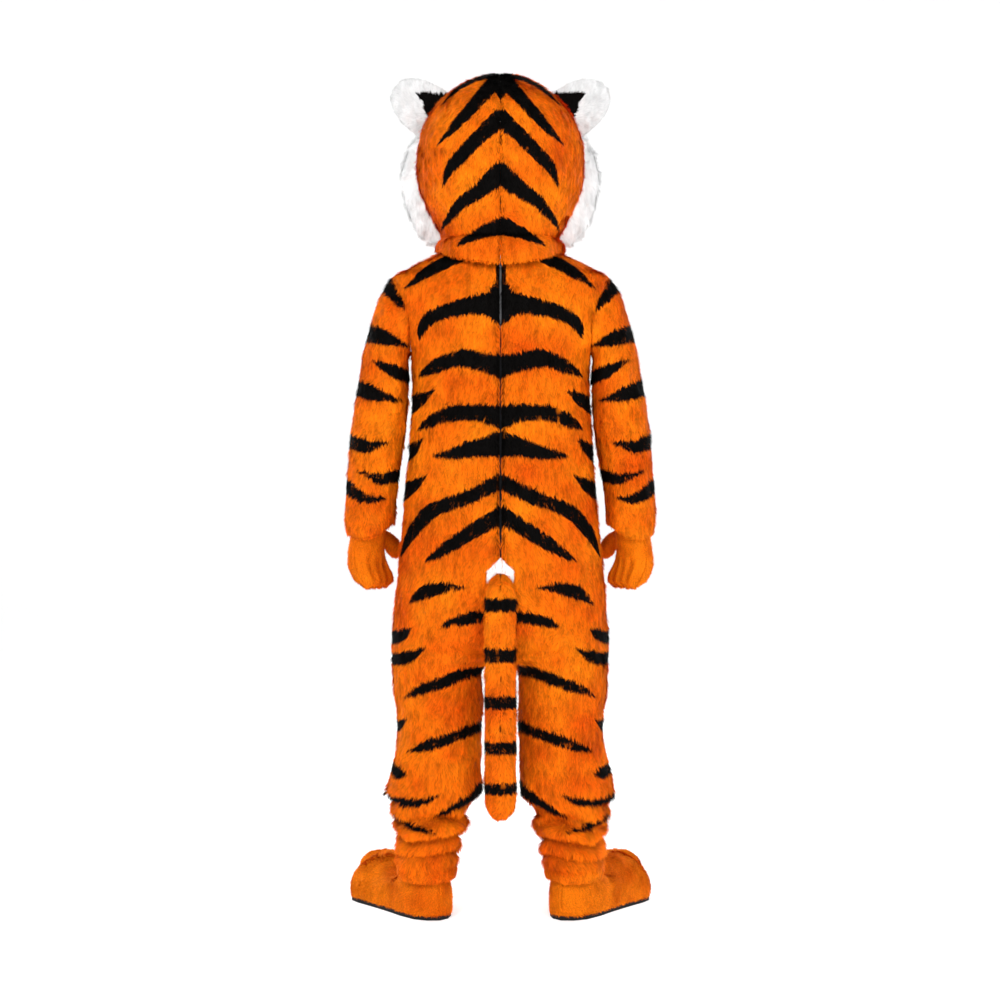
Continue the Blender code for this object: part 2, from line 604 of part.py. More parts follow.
def head_side_x(y, z):
    """Half the head's width at a depth and a height."""
    heights = [ring.z for ring in HEAD]
    ring = HeadRing(*smooth_rows(HEAD, np.interp(z, heights, range(len(HEAD)))))
    depth = ring.back_depth if y > 0 else ring.front_depth
    return ring.half_width * (1 - abs(y / depth) ** ring.squareness) ** (1 / ring.squareness)


def ear_rows(half_thick):
    """Points of one face of an ear, from its base on the head to its rounded edge."""
    low = np.array([head_side_x(EAR_DEPTH, EAR_LOW), EAR_DEPTH, EAR_LOW])
    high = np.array([head_side_x(EAR_DEPTH, EAR_HIGH), EAR_DEPTH, EAR_HIGH])
    along = high - low
    outward = unit(np.array([along[2], 0, -along[0]]))
    rows = []
    for share in (0.0, 0.3, 0.6, 0.85, 1.0):
        row = []
        for step in range(EAR_POINTS):
            turn = math.pi * step / (EAR_POINTS - 1)
            spread, rim = -math.cos(turn), math.sin(turn) ** 0.75
            cushion = math.sqrt(max(0.0, 1 - share**2)) * (0.35 + 0.65 * rim)
            depth = EAR_DEPTH + half_thick * cushion
            base_z = (EAR_LOW + EAR_HIGH) / 2 + spread * (EAR_HIGH - EAR_LOW) / 2
            base = np.array([head_side_x(depth, base_z), depth, base_z]) + outward * EAR_GAP
            edge = (low + high) / 2 + unit(along) * spread * EAR_HALF_SPREAD + outward * EAR_REACH * rim
            place = base + (edge - base) * share
            place[1] = depth
            row.append(place)
        rows.append(row)
    return np.array(rows)


def build_ears(white):
    for word, sign in (("back", 1), ("front", -1)):
        face, flat = ear_rows(EAR_HALF_THICK * sign), ear_rows(0)
        face[..., 1] += sign * (EDGE + SEAM / 2)
        flat[..., 1] += sign * SEAM / 2
        for side, mirrored in (("left", False), ("right", True)):
            wall(f"ear_{word}_{side}", face, flat, white, mirrored)


def back_middle(z):
    """The depth of the suit's back at its middle at a height."""
    heights = [ring.back for ring in SUIT]
    level = float(np.interp(z, heights, range(len(SUIT))))
    return suit_point(level, 1.5 * math.pi)[1]


def strip(name, heights, half_width, front, back, finish):
    """A straight strip up the middle of the back, between two depths measured from the suit's back."""
    across = (-half_width, 0, half_width)
    outer, inner = (
        np.array([[(x, back_middle(z) + depth, z) for x in across] for z in heights])
        for depth in (back, front)
    )
    return wall(name, outer, inner, finish)


def build_zip(tape, metal):
    heights = np.linspace(ZIP_BOTTOM + 0.022, 1.441, 12)
    strip("zip_tape", heights, 0.014, -CLOTH - 0.0028, -CLOTH - 0.0018, tape)
    strip("zip_teeth", heights, 0.0028, -CLOTH - 0.0014, -0.0012, metal)
    strip("zip_slider", [1.4413, 1.452], 0.0030, -CLOTH - 0.002, 0.0015, metal)


def build_tail(orange, white):
    """The stuffed tail, and the white patch that its root comes out of."""
    turns = np.linspace(0, 2 * math.pi, TAIL_SIDES, endpoint=False)
    points, faces = [], []
    for ring in TAIL:
        points += [
            (ring.radius * math.sin(turn), ring.centre_y + ring.radius * math.cos(turn), ring.z)
            for turn in turns
        ]
    for row in range(len(TAIL) - 1):
        for column in range(TAIL_SIDES):
            beside = (column + 1) % TAIL_SIDES
            faces.append([row * TAIL_SIDES + column, row * TAIL_SIDES + beside,
                          (row + 1) * TAIL_SIDES + beside, (row + 1) * TAIL_SIDES + column])
    faces.append(list(range(TAIL_SIDES)))
    faces.append(list(range((len(TAIL) - 1) * TAIL_SIDES, len(TAIL) * TAIL_SIDES)))
    solid("tail", points, faces, orange)
    shares = np.linspace(-1, 1, 7)
    base_low, base_high, half_width = 0.774, 0.806, 0.028
    outer, inner = [], []
    for part in (0.0, 0.5, 1.0):
        out_row, in_row = [], []
        for share in shares:
            drop = 0.018 * abs(share)
            z = base_low + (base_high - base_low) * part - drop
            depth = back_middle(z) + SEAM + 0.0007
            out_row.append((share * half_width, depth + 0.0025, z))
            in_row.append((share * half_width, depth, z))
        outer.append(out_row)
        inner.append(in_row)
    wall("tail_patch", np.array(outer), np.array(inner), white)


def foot_place(along, out, z, side):
    """A point of the left foot in the frame. side is 1 away from the other foot and -1 towards it."""
    sin, cos = math.sin(TOE_OUT), math.cos(TOE_OUT)
    across = out * side
    return np.array([HEEL[0] + along * sin + across * cos, HEEL[1] - along * cos + across * sin, z])


def foot_grid(side, inset=0.0):
    """The points of one side of a foot. inset moves them in by a wall's thickness."""
    rows = []
    low = SOLE_THICKNESS + SEAM
    for index, rib in enumerate(FOOT):
        bend = 2 / rib.roundness
        base, top = np.array([rib.along, rib.out]), np.array([rib.top_along, rib.top_out])
        inwards = unit(top - base)
        high = rib.top_z
        base = base + inwards * inset
        if index <= OPENING_RIB:
            top = top + inwards * inset * 0.5
        high -= inset
        row = []
        for column in range(FOOT_COLUMNS + 1):
            turn = column / FOOT_COLUMNS * math.pi / 2
            inside, up = 1 - math.cos(turn) ** bend, math.sin(turn) ** bend
            inside -= FOOT_SWELL * math.sin(2 * turn)
            if column == FOOT_COLUMNS:
                inside = up = 1.0
            along, out = base + (top - base) * inside
            row.append(foot_place(along, max(out, SEAM / 2), low + (high - low) * up, side))
        rows.append(row)
    return np.array(rows)


def build_feet(upper, rubber):
    for word, side in (("outer", 1), ("inner", -1)):
        outer, inner = foot_grid(side), foot_grid(side, FOOT_WALL)
        for name, mirrored in (("left", False), ("right", True)):
            wall(f"foot_{word}_{name}", outer, inner, upper, mirrored)
    outline = [foot_place(rib.along, rib.out - 0.001, 0, 1) for rib in FOOT[:-1]]
    outline += [foot_place(rib.along, rib.out - 0.001, 0, -1) for rib in reversed(FOOT[1:])]
    count = len(outline)
    points = [p + np.array([0, 0, z]) for z in (0.0, SOLE_THICKNESS) for p in outline]
    faces = [list(range(count)), list(range(count, 2 * count))]
    faces += [[i, (i + 1) % count, count + (i + 1) % count, count + i] for i in range(count)]
    for name, mirrored in (("left", False), ("right", True)):
        solid(f"sole_{name}", points, faces, rubber, mirrored)


def hand_profile(share):
    """The parted fingers' thickness at a place across the hand, as a share of the whole hand's."""
    if abs(share) > 1 - EPSILON:
        return 0.0
    part = (share + 1) / 2 * FINGER_COUNT % 1
    return max(CREASE, math.sqrt(max(0.0, 1 - (2 * part - 1) ** 2)))


def hand_frame():
    """(across, palm): level directions from the thumb to the little finger, and out of the palm."""
    sin, cos = math.sin(PALM_TURN), math.cos(PALM_TURN)
    return np.array([cos, sin, 0]), np.array([-sin, cos, 0])


def hand_row(ring, towards_palm):
    across, palm = hand_frame()
    columns = FINGER_COUNT * FINGER_COLUMNS
    start = -math.sqrt(1 - (ring.thumb_hole / max(ring.half_thick, 1e-6)) ** 2) if ring.thumb_hole else -1.0
    row = []
    for column in range(columns + 1):
        share = start + (1 - start) * column / columns
        whole = math.sqrt(max(0.0, 1 - share**2))
        thick = ring.half_thick * (whole * (1 - ring.fingers) + hand_profile(share) * ring.fingers)
        rise = 0.0
        if ring.half_thick == 0:
            rise = TIP_RISE * (1 - hand_profile(share))
        row.append(np.array([ring.centre_x, ring.centre_y, ring.z + rise])
                   + across * share * ring.half_wide + palm * thick * (1 if towards_palm else -1))
    return row


def hand_grids():
    """Outer and inner points of the palm and of the hand's back."""
    rings = HAND + [FINGERTIP]
    palm, back = (np.array([hand_row(ring, side) for ring in rings]) for side in (True, False))
    whole = np.concatenate([palm, back[:, ::-1]], axis=1)
    inner = whole - grid_normals(whole) * GLOVE_WALL
    count = palm.shape[1]
    spine = (palm + back) / 2
    inwards = spine[-2] - spine[-1]
    inwards /= np.linalg.norm(inwards, axis=1, keepdims=True)
    middle = spine[-1].mean(axis=0)
    tips = middle + (spine[-1] - middle) * 0.93 + inwards * GLOVE_WALL * 1.5
    across, towards = hand_frame()
    drops = [-ring.z for ring in rings]
    ways = [np.dot([ring.centre_x, ring.centre_y, 0], towards) for ring in rings]
    result = []
    for outer, inside, sign in ((palm, inner[:, :count], 1), (back, inner[:, count:][:, ::-1], -1)):
        pair = []
        for grid in (outer, inside):
            off = (grid @ towards - np.interp(-grid[..., 2], drops, ways)) * sign
            pair.append(grid + np.maximum(SEAM / 2 - off, 0)[..., None] * towards * sign)
        pair[1][-1] = tips + towards * sign * SEAM / 2
        result.append(pair)
    return result


def thumb_grid():
    """The thumb from the seam round its hole to its tip."""
    rows = [index for index, ring in enumerate(HAND) if ring.thumb_hole]
    rows = range(rows[0] - 1, rows[-1] + 2)
    palm, back = (np.array([hand_row(HAND[row], side)[0] for row in rows]) for side in (True, False))
    start = np.concatenate([palm, back[-2:0:-1]])
    across = hand_frame()[0]
    start = start - across * GLOVE_WALL * 0.4
    middle = start.mean(axis=0)
    count = len(start)
    line = [middle] + [np.array(ring[:3]) for ring in THUMB]
    rings = [start]
    for index, ring in enumerate(THUMB, 1):
        way = unit(line[min(index + 1, len(line) - 1)] - line[index - 1])
        up = unit(np.array([0, 0, 1]) - way * way[2])
        side = np.cross(up, way)
        turns = np.linspace(0, 2 * math.pi, count, endpoint=False)
        toward_palm = np.sign(side @ hand_frame()[1]) or 1.0
        rings.append([line[index] + ring.radius * (up * math.cos(t) + side * toward_palm * math.sin(t))
                      for t in turns])
    return np.array(rings)


def build_gloves(finish):
    """A glove: a palm, a back that meets it at the fingertips, and a thumb in a hole at its front edge."""
    (palm_out, palm_in), (back_out, back_in) = hand_grids()
    thumb = thumb_grid()
    thumb_in = thumb - grid_normals(thumb) * GLOVE_WALL
    tip, tip_in = thumb[-1].mean(axis=0), thumb_in[-1].mean(axis=0)
    down = unit(tip - thumb[-2].mean(axis=0))
    thumb = np.concatenate([thumb, np.repeat([[tip + down * 0.003]], thumb.shape[1], axis=1)])
    thumb_in = np.concatenate([thumb_in, np.repeat([[tip_in]], thumb.shape[1], axis=1)])
    for side, mirrored in (("left", False), ("right", True)):
        wall(f"glove_palm_{side}", palm_out, palm_in, finish, mirrored)
        wall(f"glove_back_{side}", back_out, back_in, finish, mirrored)
        capped_tube(f"glove_thumb_{side}", thumb, thumb_in, finish, mirrored)


def clear_scene():
    for old in list(bpy.data.objects):
        bpy.data.objects.remove(old)


clear_scene()
WORN = bpy.data.objects.new("worn", None)
WORN.location = (0, 0, -HELD_HEIGHT)
bpy.context.scene.collection.objects.link(WORN)
bpy.context.view_layer.update()

plush = material("orange_plush", ORANGE, 0.95)
white_fur = material("white_fur", WHITE, 0.95)
black_felt = material("black_felt", BLACK, 0.9)
nose_felt = material("nose_felt", PINK, 0.7)
zip_cloth = material("zip_tape", BLACK, 0.85)
zip_metal = material("zip_teeth", GREY, 0.45)
rubber = material("sole_rubber", BLACK, 0.8)

build_suit(plush)
build_sleeves(plush)
build_ankle_cuffs(plush)
build_head(plush)
build_neck_skirt(plush)
build_face(white_fur, black_felt, nose_felt)
build_ruff(white_fur)
build_ears(white_fur)
build_zip(zip_cloth, zip_metal)
build_tail(plush, white_fur)
build_feet(plush, rubber)
build_gloves(plush)
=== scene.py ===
"""Looks of the tiger mascot costume: plush shells over the cut pieces, their pile and long fur,
the dyed stripes, the zip and the seams, and the studio that they stand in."""

import math
from collections import namedtuple

import bmesh
import bpy
import numpy as np
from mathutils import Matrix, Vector


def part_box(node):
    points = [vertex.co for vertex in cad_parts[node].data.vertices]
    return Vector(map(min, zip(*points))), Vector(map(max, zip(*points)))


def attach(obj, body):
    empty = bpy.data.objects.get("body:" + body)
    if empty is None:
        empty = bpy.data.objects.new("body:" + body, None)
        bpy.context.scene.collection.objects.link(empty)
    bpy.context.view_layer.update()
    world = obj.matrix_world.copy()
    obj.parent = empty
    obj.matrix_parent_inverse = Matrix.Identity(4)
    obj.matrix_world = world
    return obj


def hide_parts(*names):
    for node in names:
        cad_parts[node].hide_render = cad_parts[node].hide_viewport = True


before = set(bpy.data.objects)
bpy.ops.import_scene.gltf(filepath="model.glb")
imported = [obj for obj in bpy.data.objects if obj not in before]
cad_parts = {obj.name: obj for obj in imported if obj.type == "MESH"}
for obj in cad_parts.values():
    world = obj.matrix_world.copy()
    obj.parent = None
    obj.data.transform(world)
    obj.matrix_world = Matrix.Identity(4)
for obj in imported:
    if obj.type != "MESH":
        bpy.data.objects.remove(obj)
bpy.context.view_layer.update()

HELD_HEIGHT = 1.456  # the frame's origin is this far above the soles
# Below ZIP_SHOWS_ABOVE the coil also takes the black tape finish, as painted shade under the pile.
ZIP_SHOWS_ABOVE = 1.305  # lower down the pile leans over the zip and hides its coil

# Colours of the cloth, in linear light.
BRIGHT = np.array([0.98, 0.225, 0.0035])
DEEP = np.array([0.78, 0.098, 0.0012])
BLACK = np.array([0.0017, 0.0012, 0.0010])
WHITE = np.array([0.955, 0.955, 0.955])

# ---------------------------------------------------------------- stripes

# A stripe is a stroke through nodes on the back: across from the middle, height above the soles,
# and half its width there. It is dyed on both sides of the body.
Node = namedtuple("Node", "x z half")
HEAD_STRIPES = {
    "crown_point": [Node(0.000, 1.874, 0.026), Node(0.000, 1.832, 0.017), Node(0.000, 1.798, 0.001)],
    "crown_arc": [Node(0.010, 1.868, 0.009), Node(0.055, 1.856, 0.008), Node(0.095, 1.833, 0.007),
                  Node(0.131, 1.799, 0.001)],
    "crown_arm": [Node(0.010, 1.850, 0.018), Node(0.045, 1.802, 0.0145), Node(0.074, 1.768, 0.013),
                  Node(0.104, 1.736, 0.0095), Node(0.137, 1.705, 0.001)],
    "upper_chevron": [Node(0.000, 1.755, 0.019), Node(0.040, 1.720, 0.015), Node(0.088, 1.674, 0.014),
                      Node(0.112, 1.647, 0.010), Node(0.127, 1.612, 0.001)],
    "middle_chevron": [Node(0.000, 1.637, 0.022), Node(0.038, 1.606, 0.017), Node(0.084, 1.577, 0.0125),
                       Node(0.109, 1.552, 0.009), Node(0.132, 1.527, 0.001)],
    "lower_chevron": [Node(0.000, 1.528, 0.018), Node(0.038, 1.516, 0.0135), Node(0.069, 1.503, 0.009),
                      Node(0.097, 1.488, 0.001)],
}
BODY_STRIPES = {
    "shoulder": [Node(0.088, 1.468, 0.012), Node(0.130, 1.449, 0.0125), Node(0.168, 1.427, 0.0095),
                 Node(0.209, 1.396, 0.001)],
    "collar": [Node(0.000, 1.452, 0.009), Node(0.000, 1.400, 0.009)],
    "zip_diamond": [Node(0.000, 1.359, 0.028), Node(0.034, 1.358, 0.0205), Node(0.061, 1.356, 0.0165),
                    Node(0.110, 1.346, 0.014), Node(0.153, 1.330, 0.0125), Node(0.172, 1.309, 0.009),
                    Node(0.180, 1.286, 0.001)],
    "zip_diamond_top": [Node(0.000, 1.406, 0.007), Node(0.000, 1.378, 0.023)],
    "zip_diamond_foot": [Node(0.000, 1.345, 0.025), Node(0.000, 1.315, 0.003)],
    "rib_upper": [Node(0.000, 1.223, 0.022), Node(0.034, 1.231, 0.0175), Node(0.078, 1.241, 0.017),
                  Node(0.106, 1.238, 0.014), Node(0.132, 1.228, 0.0135), Node(0.158, 1.216, 0.009),
                  Node(0.181, 1.202, 0.001)],
    "rib_middle": [Node(0.000, 1.112, 0.021), Node(0.040, 1.121, 0.016), Node(0.098, 1.122, 0.0145),
                   Node(0.135, 1.112, 0.0125), Node(0.160, 1.099, 0.009), Node(0.182, 1.086, 0.001)],
    "rib_lower": [Node(0.000, 1.054, 0.0235), Node(0.040, 1.047, 0.0175), Node(0.090, 1.036, 0.0125),
                  Node(0.120, 1.031, 0.008), Node(0.148, 1.027, 0.001)],
    "hip_chevron": [Node(0.000, 0.972, 0.014), Node(0.060, 0.943, 0.0135), Node(0.120, 0.920, 0.0125),
                    Node(0.160, 0.900, 0.0135), Node(0.198, 0.853, 0.009), Node(0.220, 0.806, 0.001)],
    "seat_chevron": [Node(0.000, 0.898, 0.017), Node(0.050, 0.870, 0.014), Node(0.100, 0.839, 0.0125),
                     Node(0.135, 0.817, 0.009), Node(0.167, 0.798, 0.001)],
    "side_upper": [Node(0.216, 1.133, 0.016), Node(0.182, 1.150, 0.014), Node(0.144, 1.171, 0.001)],
    "side_middle": [Node(0.218, 1.028, 0.015), Node(0.196, 1.042, 0.0125), Node(0.170, 1.066, 0.001)],
    "side_lower": [Node(0.222, 0.944, 0.015), Node(0.196, 0.960, 0.0125), Node(0.160, 0.987, 0.001)],
    "thigh_inner": [Node(0.076, 0.743, 0.001), Node(0.122, 0.741, 0.010), Node(0.154, 0.735, 0.014),
                    Node(0.176, 0.725, 0.011), Node(0.203, 0.701, 0.001)],
    "thigh_lower": [Node(0.030, 0.679, 0.011), Node(0.072, 0.675, 0.011), Node(0.105, 0.667, 0.0085),
                    Node(0.131, 0.655, 0.001)],
    "thigh_outer": [Node(0.240, 0.626, 0.013), Node(0.215, 0.636, 0.0105), Node(0.194, 0.651, 0.001)],
    "knee_outer": [Node(0.242, 0.580, 0.0125), Node(0.205, 0.588, 0.012), Node(0.163, 0.610, 0.001)],
    "knee_inner": [Node(0.030, 0.556, 0.010), Node(0.078, 0.552, 0.0115), Node(0.130, 0.534, 0.0115),
                   Node(0.180, 0.516, 0.009), Node(0.210, 0.499, 0.001)],
    "shin_inner": [Node(0.030, 0.432, 0.011), Node(0.080, 0.422, 0.011), Node(0.130, 0.406, 0.011),
                   Node(0.165, 0.394, 0.0095), Node(0.204, 0.380, 0.001)],
    "shin_outer": [Node(0.232, 0.428, 0.012), Node(0.206, 0.450, 0.001)],
    "calf_outer": [Node(0.250, 0.334, 0.010), Node(0.226, 0.332, 0.0115), Node(0.203, 0.331, 0.001)],
    "calf_band": [Node(0.250, 0.272, 0.008), Node(0.206, 0.268, 0.009), Node(0.165, 0.274, 0.0065),
                  Node(0.132, 0.287, 0.001)],
    "calf_inner": [Node(0.040, 0.295, 0.012), Node(0.070, 0.275, 0.0105), Node(0.110, 0.253, 0.008),
                   Node(0.147, 0.233, 0.001)],
    "fold_arc": [Node(0.235, 0.230, 0.004), Node(0.206, 0.216, 0.006), Node(0.182, 0.209, 0.0055),
                 Node(0.142, 0.202, 0.001)],
}
SLEEVE_STRIPES = {
    "cap": [Node(0.260, 1.414, 0.017), Node(0.239, 1.389, 0.0135), Node(0.223, 1.369, 0.0095),
            Node(0.210, 1.349, 0.001)],
    "upper_outer": [Node(0.310, 1.304, 0.019), Node(0.269, 1.293, 0.018), Node(0.236, 1.282, 0.011),
                    Node(0.200, 1.270, 0.001)],
    "upper_inner": [Node(0.194, 1.198, 0.014), Node(0.230, 1.213, 0.0135), Node(0.260, 1.228, 0.008),
                    Node(0.284, 1.240, 0.001)],
    "elbow_outer": [Node(0.325, 1.182, 0.018), Node(0.280, 1.166, 0.0155), Node(0.250, 1.158, 0.0095),
                    Node(0.218, 1.150, 0.001)],
    "forearm_outer": [Node(0.342, 1.064, 0.017), Node(0.300, 1.049, 0.0135), Node(0.272, 1.053, 0.008),
                      Node(0.246, 1.059, 0.001)],
    "forearm_inner": [Node(0.226, 0.987, 0.012), Node(0.244, 0.980, 0.013), Node(0.269, 0.979, 0.011),
                      Node(0.318, 0.995, 0.001)],
    "wrist_outer": [Node(0.350, 0.966, 0.015), Node(0.311, 0.939, 0.0125), Node(0.286, 0.932, 0.0085),
                    Node(0.257, 0.935, 0.001)],
}
# How much wider than its nodes say a stripe is dyed.
STRIPE_BOLDNESS = {"body": 1.20, "leg": 1.12, "other": 1.06}
LEG_TOP = 0.76  # the legs' share holds below this height
BROW_LOWEST = 1.745  # the front of the head has stripes only above this height
TAIL_BANDS = [(0.708, 0.0145), (0.600, 0.0147), (0.500, 0.0135), (0.402, 0.0133), (0.315, 0.012)]
EAR_PATCH = {
    "patch_tip": [Node(0.190, 1.838, 0.001), Node(0.168, 1.831, 0.010), Node(0.128, 1.822, 0.018)],
    "patch_point": [Node(0.158, 1.826, 0.015), Node(0.158, 1.808, 0.013), Node(0.160, 1.784, 0.001)],
    "patch_root": [Node(0.132, 1.812, 0.020), Node(0.146, 1.798, 0.013)],
}


def drawn_out(nodes, steps=5):
    """A stroke's nodes joined by a smooth curve, as rows of across, height and half width."""
    rows = np.array(nodes)
    rows = np.vstack([2 * rows[0] - rows[1], rows, 2 * rows[-1] - rows[-2]])
    drawn = []
    for before, start, end, after in zip(rows, rows[1:], rows[2:], rows[3:]):
        for step in range(steps):
            t = step / steps
            drawn.append(0.5 * (2 * start + (end - before) * t
                                + (2 * before - 5 * start + 4 * end - after) * t ** 2
                                + (3 * start - before - 3 * end + after) * t ** 3))
    return np.vstack([drawn, rows[-2]])


def value_noise(points, size, seed):
    """Smooth noise from -1 to 1 over points, with features of one size."""
    place = points / size + seed * 17.31
    low = np.floor(place)
    part = place - low
    part = part * part * (3 - 2 * part)
    total = np.zeros(len(points))
    for corner in range(8):
        offset = np.array([corner & 1, corner >> 1 & 1, corner >> 2 & 1])
        cell = low + offset
        random = np.sin(cell @ np.array([12.9898, 78.233, 37.719]) + seed) * 43758.5453
        random = random - np.floor(random)
        weight = np.prod(np.where(offset == 1, part, 1 - part), axis=1)
        total += weight * random
    return total * 2 - 1


def stroke_cover(points, stripes, boldness):
    """How far inside its nearest stripe each point is, in metres; negative outside."""
    across, height = np.abs(points[:, 0]), points[:, 2] + HELD_HEIGHT
    best = np.full(len(points), -1.0)
    for nodes in stripes.values():
        rows = drawn_out(nodes)
        low, high = rows.min(axis=0) - 0.03, rows.max(axis=0) + 0.03
        near = np.nonzero((across > low[0]) & (across < high[0]) & (height > low[1]) & (height < high[1]))[0]
        x, z = across[near], height[near]
        inside = np.full(len(near), -1.0)
        for start, end in zip(rows, rows[1:]):
            dx, dz, grows = end - start
            share = np.clip(((x - start[0]) * dx + (z - start[1]) * dz) / (dx * dx + dz * dz), 0, 1)
            off = np.hypot(x - start[0] - share * dx, z - start[1] - share * dz)
            inside = np.maximum(inside, (start[2] + grows * share) * boldness - off)
        best[near] = np.maximum(best[near], inside)
    return best


def jagged(points, stripes, ragged=0.0016, bold=("other",)):
    """Stripe cover with the torn edge that combed pile gives."""
    moved = points.copy()
    moved[:, 2] += value_noise(points * [1, 1, 0.35], 0.006, 3) * ragged
    moved[:, 0] += value_noise(points, 0.05, 5) * 0.002
    covers = [stroke_cover(moved, stripes, STRIPE_BOLDNESS[word]) for word in bold]
    return covers[0] if len(bold) == 1 else np.where(moved[:, 2] > LEG_TOP - HELD_HEIGHT, *covers)


def striped(kind, points):
    """1 where a piece is dyed black, 0 elsewhere."""
    if kind == "body":
        return jagged(points, BODY_STRIPES, bold=("body", "leg")) > 0
    if kind == "sleeve":
        return jagged(points, SLEEVE_STRIPES) > 0
    if kind == "head_back":
        return jagged(points, HEAD_STRIPES) > 0
    if kind == "head_front":
        brow = jagged(points, HEAD_STRIPES) > 0
        return brow & (points[:, 2] + HELD_HEIGHT > BROW_LOWEST)
    if kind == "skirt":
        return (jagged(points, HEAD_STRIPES) > 0) & (points[:, 1] > 0)
    if kind == "tail":
        height = points[:, 2] + HELD_HEIGHT + value_noise(points * [1, 1, 0.35], 0.006, 9) * 0.0016
        return np.any([np.abs(height - z) < half for z, half in TAIL_BANDS], axis=0)
    if kind == "ear_back":
        return jagged(points, EAR_PATCH, 0.005) > 0
    return np.zeros(len(points), bool)


def dyed(kind, points, base):
    """The colour of the pile at each place."""
    if base == "white":
        shade = 0.94 + 0.06 * value_noise(points, 0.02, 21)
        shade *= 0.80 if kind.startswith("ear") else 1.0
        colour = WHITE * shade[:, None]
    else:
        patches = value_noise(points, 0.085, 11) * 0.6 + value_noise(points, 0.034, 12) * 0.4
        share = np.clip((0.25 if kind == "short" else 0.46) + 0.75 * patches, 0, 1)[:, None]
        colour = BRIGHT + (DEEP - BRIGHT) * share
    return np.where(striped(kind, points)[:, None], BLACK, colour)


# ---------------------------------------------------------------- materials


class Value:
    """A number socket that Python's operators work on."""

    def __init__(self, maker, socket):
        self.maker, self.socket = maker, socket

    def _with(self, operation, other, swapped=False):
        other = other.socket if isinstance(other, Value) else other
        first, second = (other, self.socket) if swapped else (self.socket, other)
        made = self.maker.add("ShaderNodeMath", {"operation": operation}, {0: first, 1: second})
        return Value(self.maker, made.outputs[0])

    def __add__(self, other):
        return self._with("ADD", other)

    def __radd__(self, other):
        return self._with("ADD", other, True)

    def __sub__(self, other):
        return self._with("SUBTRACT", other)

    def __rsub__(self, other):
        return self._with("SUBTRACT", other, True)

    def __mul__(self, other):
        return self._with("MULTIPLY", other)

    def __rmul__(self, other):
        return self._with("MULTIPLY", other, True)


class Finish:
    """A material with its nodes."""

    def __init__(self, name):
        self.material = bpy.data.materials.new(name)
        self.material.use_nodes = True
        self.nodes = self.material.node_tree.nodes
        self.links = self.material.node_tree.links
        self.shader = self.nodes["Principled BSDF"]

    def add(self, kind, settings=None, inputs=None):
        node = self.nodes.new(kind)
        for name, value in (settings or {}).items():
            setattr(node, name, value)
        for name, value in (inputs or {}).items():
            self.put(node.inputs[name], value)
        return node

    def put(self, socket, value):
        value = value.socket if isinstance(value, Value) else value
        if isinstance(value, bpy.types.NodeSocket):
            self.links.new(value, socket)
        else:
            socket.default_value = value

    def set(self, **values):
        for name, value in values.items():
            self.put(self.shader.inputs[name.replace("_", " ")], value)

    def noise(self, scale, detail=2.0, coordinate=None):
        where = coordinate or self.add("ShaderNodeTexCoord").outputs["Object"]
        return Value(self, self.add("ShaderNodeTexNoise", inputs={
            "Vector": where, "Scale": scale, "Detail": detail}).outputs[0])

    def attribute(self, name, output="Color"):
        return self.add("ShaderNodeAttribute", {"attribute_name": name}).outputs[output]

    def mix(self, factor, first, second, blend="MIX"):
        node = self.add("ShaderNodeMix", {"data_type": "RGBA", "blend_type": blend})
        self.put(node.inputs[0], factor)
        self.put(node.inputs[6], first)
        self.put(node.inputs[7], second)
        return node.outputs[2]

    def bump(self, height, strength, distance):
        node = self.add("ShaderNodeBump", inputs={"Strength": strength, "Distance": distance})
        self.put(node.inputs["Height"], height)
        self.put(self.shader.inputs["Normal"], node.outputs[0])


def pile_finish(name, roughness, painted_glow=0.0):
    """Finish of the pile: its dyed colour, darker at the root as painted shade and lighter at the tip as
    painted light, and the painted glow that white fur gives off.
    """
    made = Finish(name)
    tone = Value(made, made.attribute("tone", "Fac"))
    made.set(Base_Color=made.mix(1.0, made.attribute("dye"), tone.socket, "MULTIPLY"), Roughness=roughness)
    made.set(Specular_IOR_Level=0.06)
    # Painted glow: the pile gives off light of its own colour, though it is no lamp.
    if painted_glow:
        made.set(Emission_Color=made.attribute("dye"), Emission_Strength=painted_glow)
    return made.material


def cloth_finish(name, low, high):
    """The backing and the roots of the pile, seen between the hairs."""
    made = Finish(name)
    grain = made.noise(520.0, 3.0)
    shade = low + grain * (high - low)
    made.set(Base_Color=made.mix(1.0, made.attribute("dye"), shade.socket, "MULTIPLY"), Roughness=0.95)
    made.set(Specular_IOR_Level=0.05)
    made.bump(grain.socket, 0.6, 0.002)
    return made.material


def plain_finish(name, colour, roughness, scale, depth, **extra):
    """A hard or felted surface with a fine grain: its scale, and its depth in metres."""
    made = Finish(name)
    grain = made.noise(scale, 4.0)
    dark = [channel * 0.75 for channel in colour]
    light = [min(1, channel * 1.15) for channel in colour]
    tint = made.mix(grain.socket, (*dark, 1), (*light, 1))
    made.set(Base_Color=tint, Roughness=roughness + (grain - 0.5) * 0.15, **extra)
    made.bump(grain.socket, 0.4, depth)
    return made.material


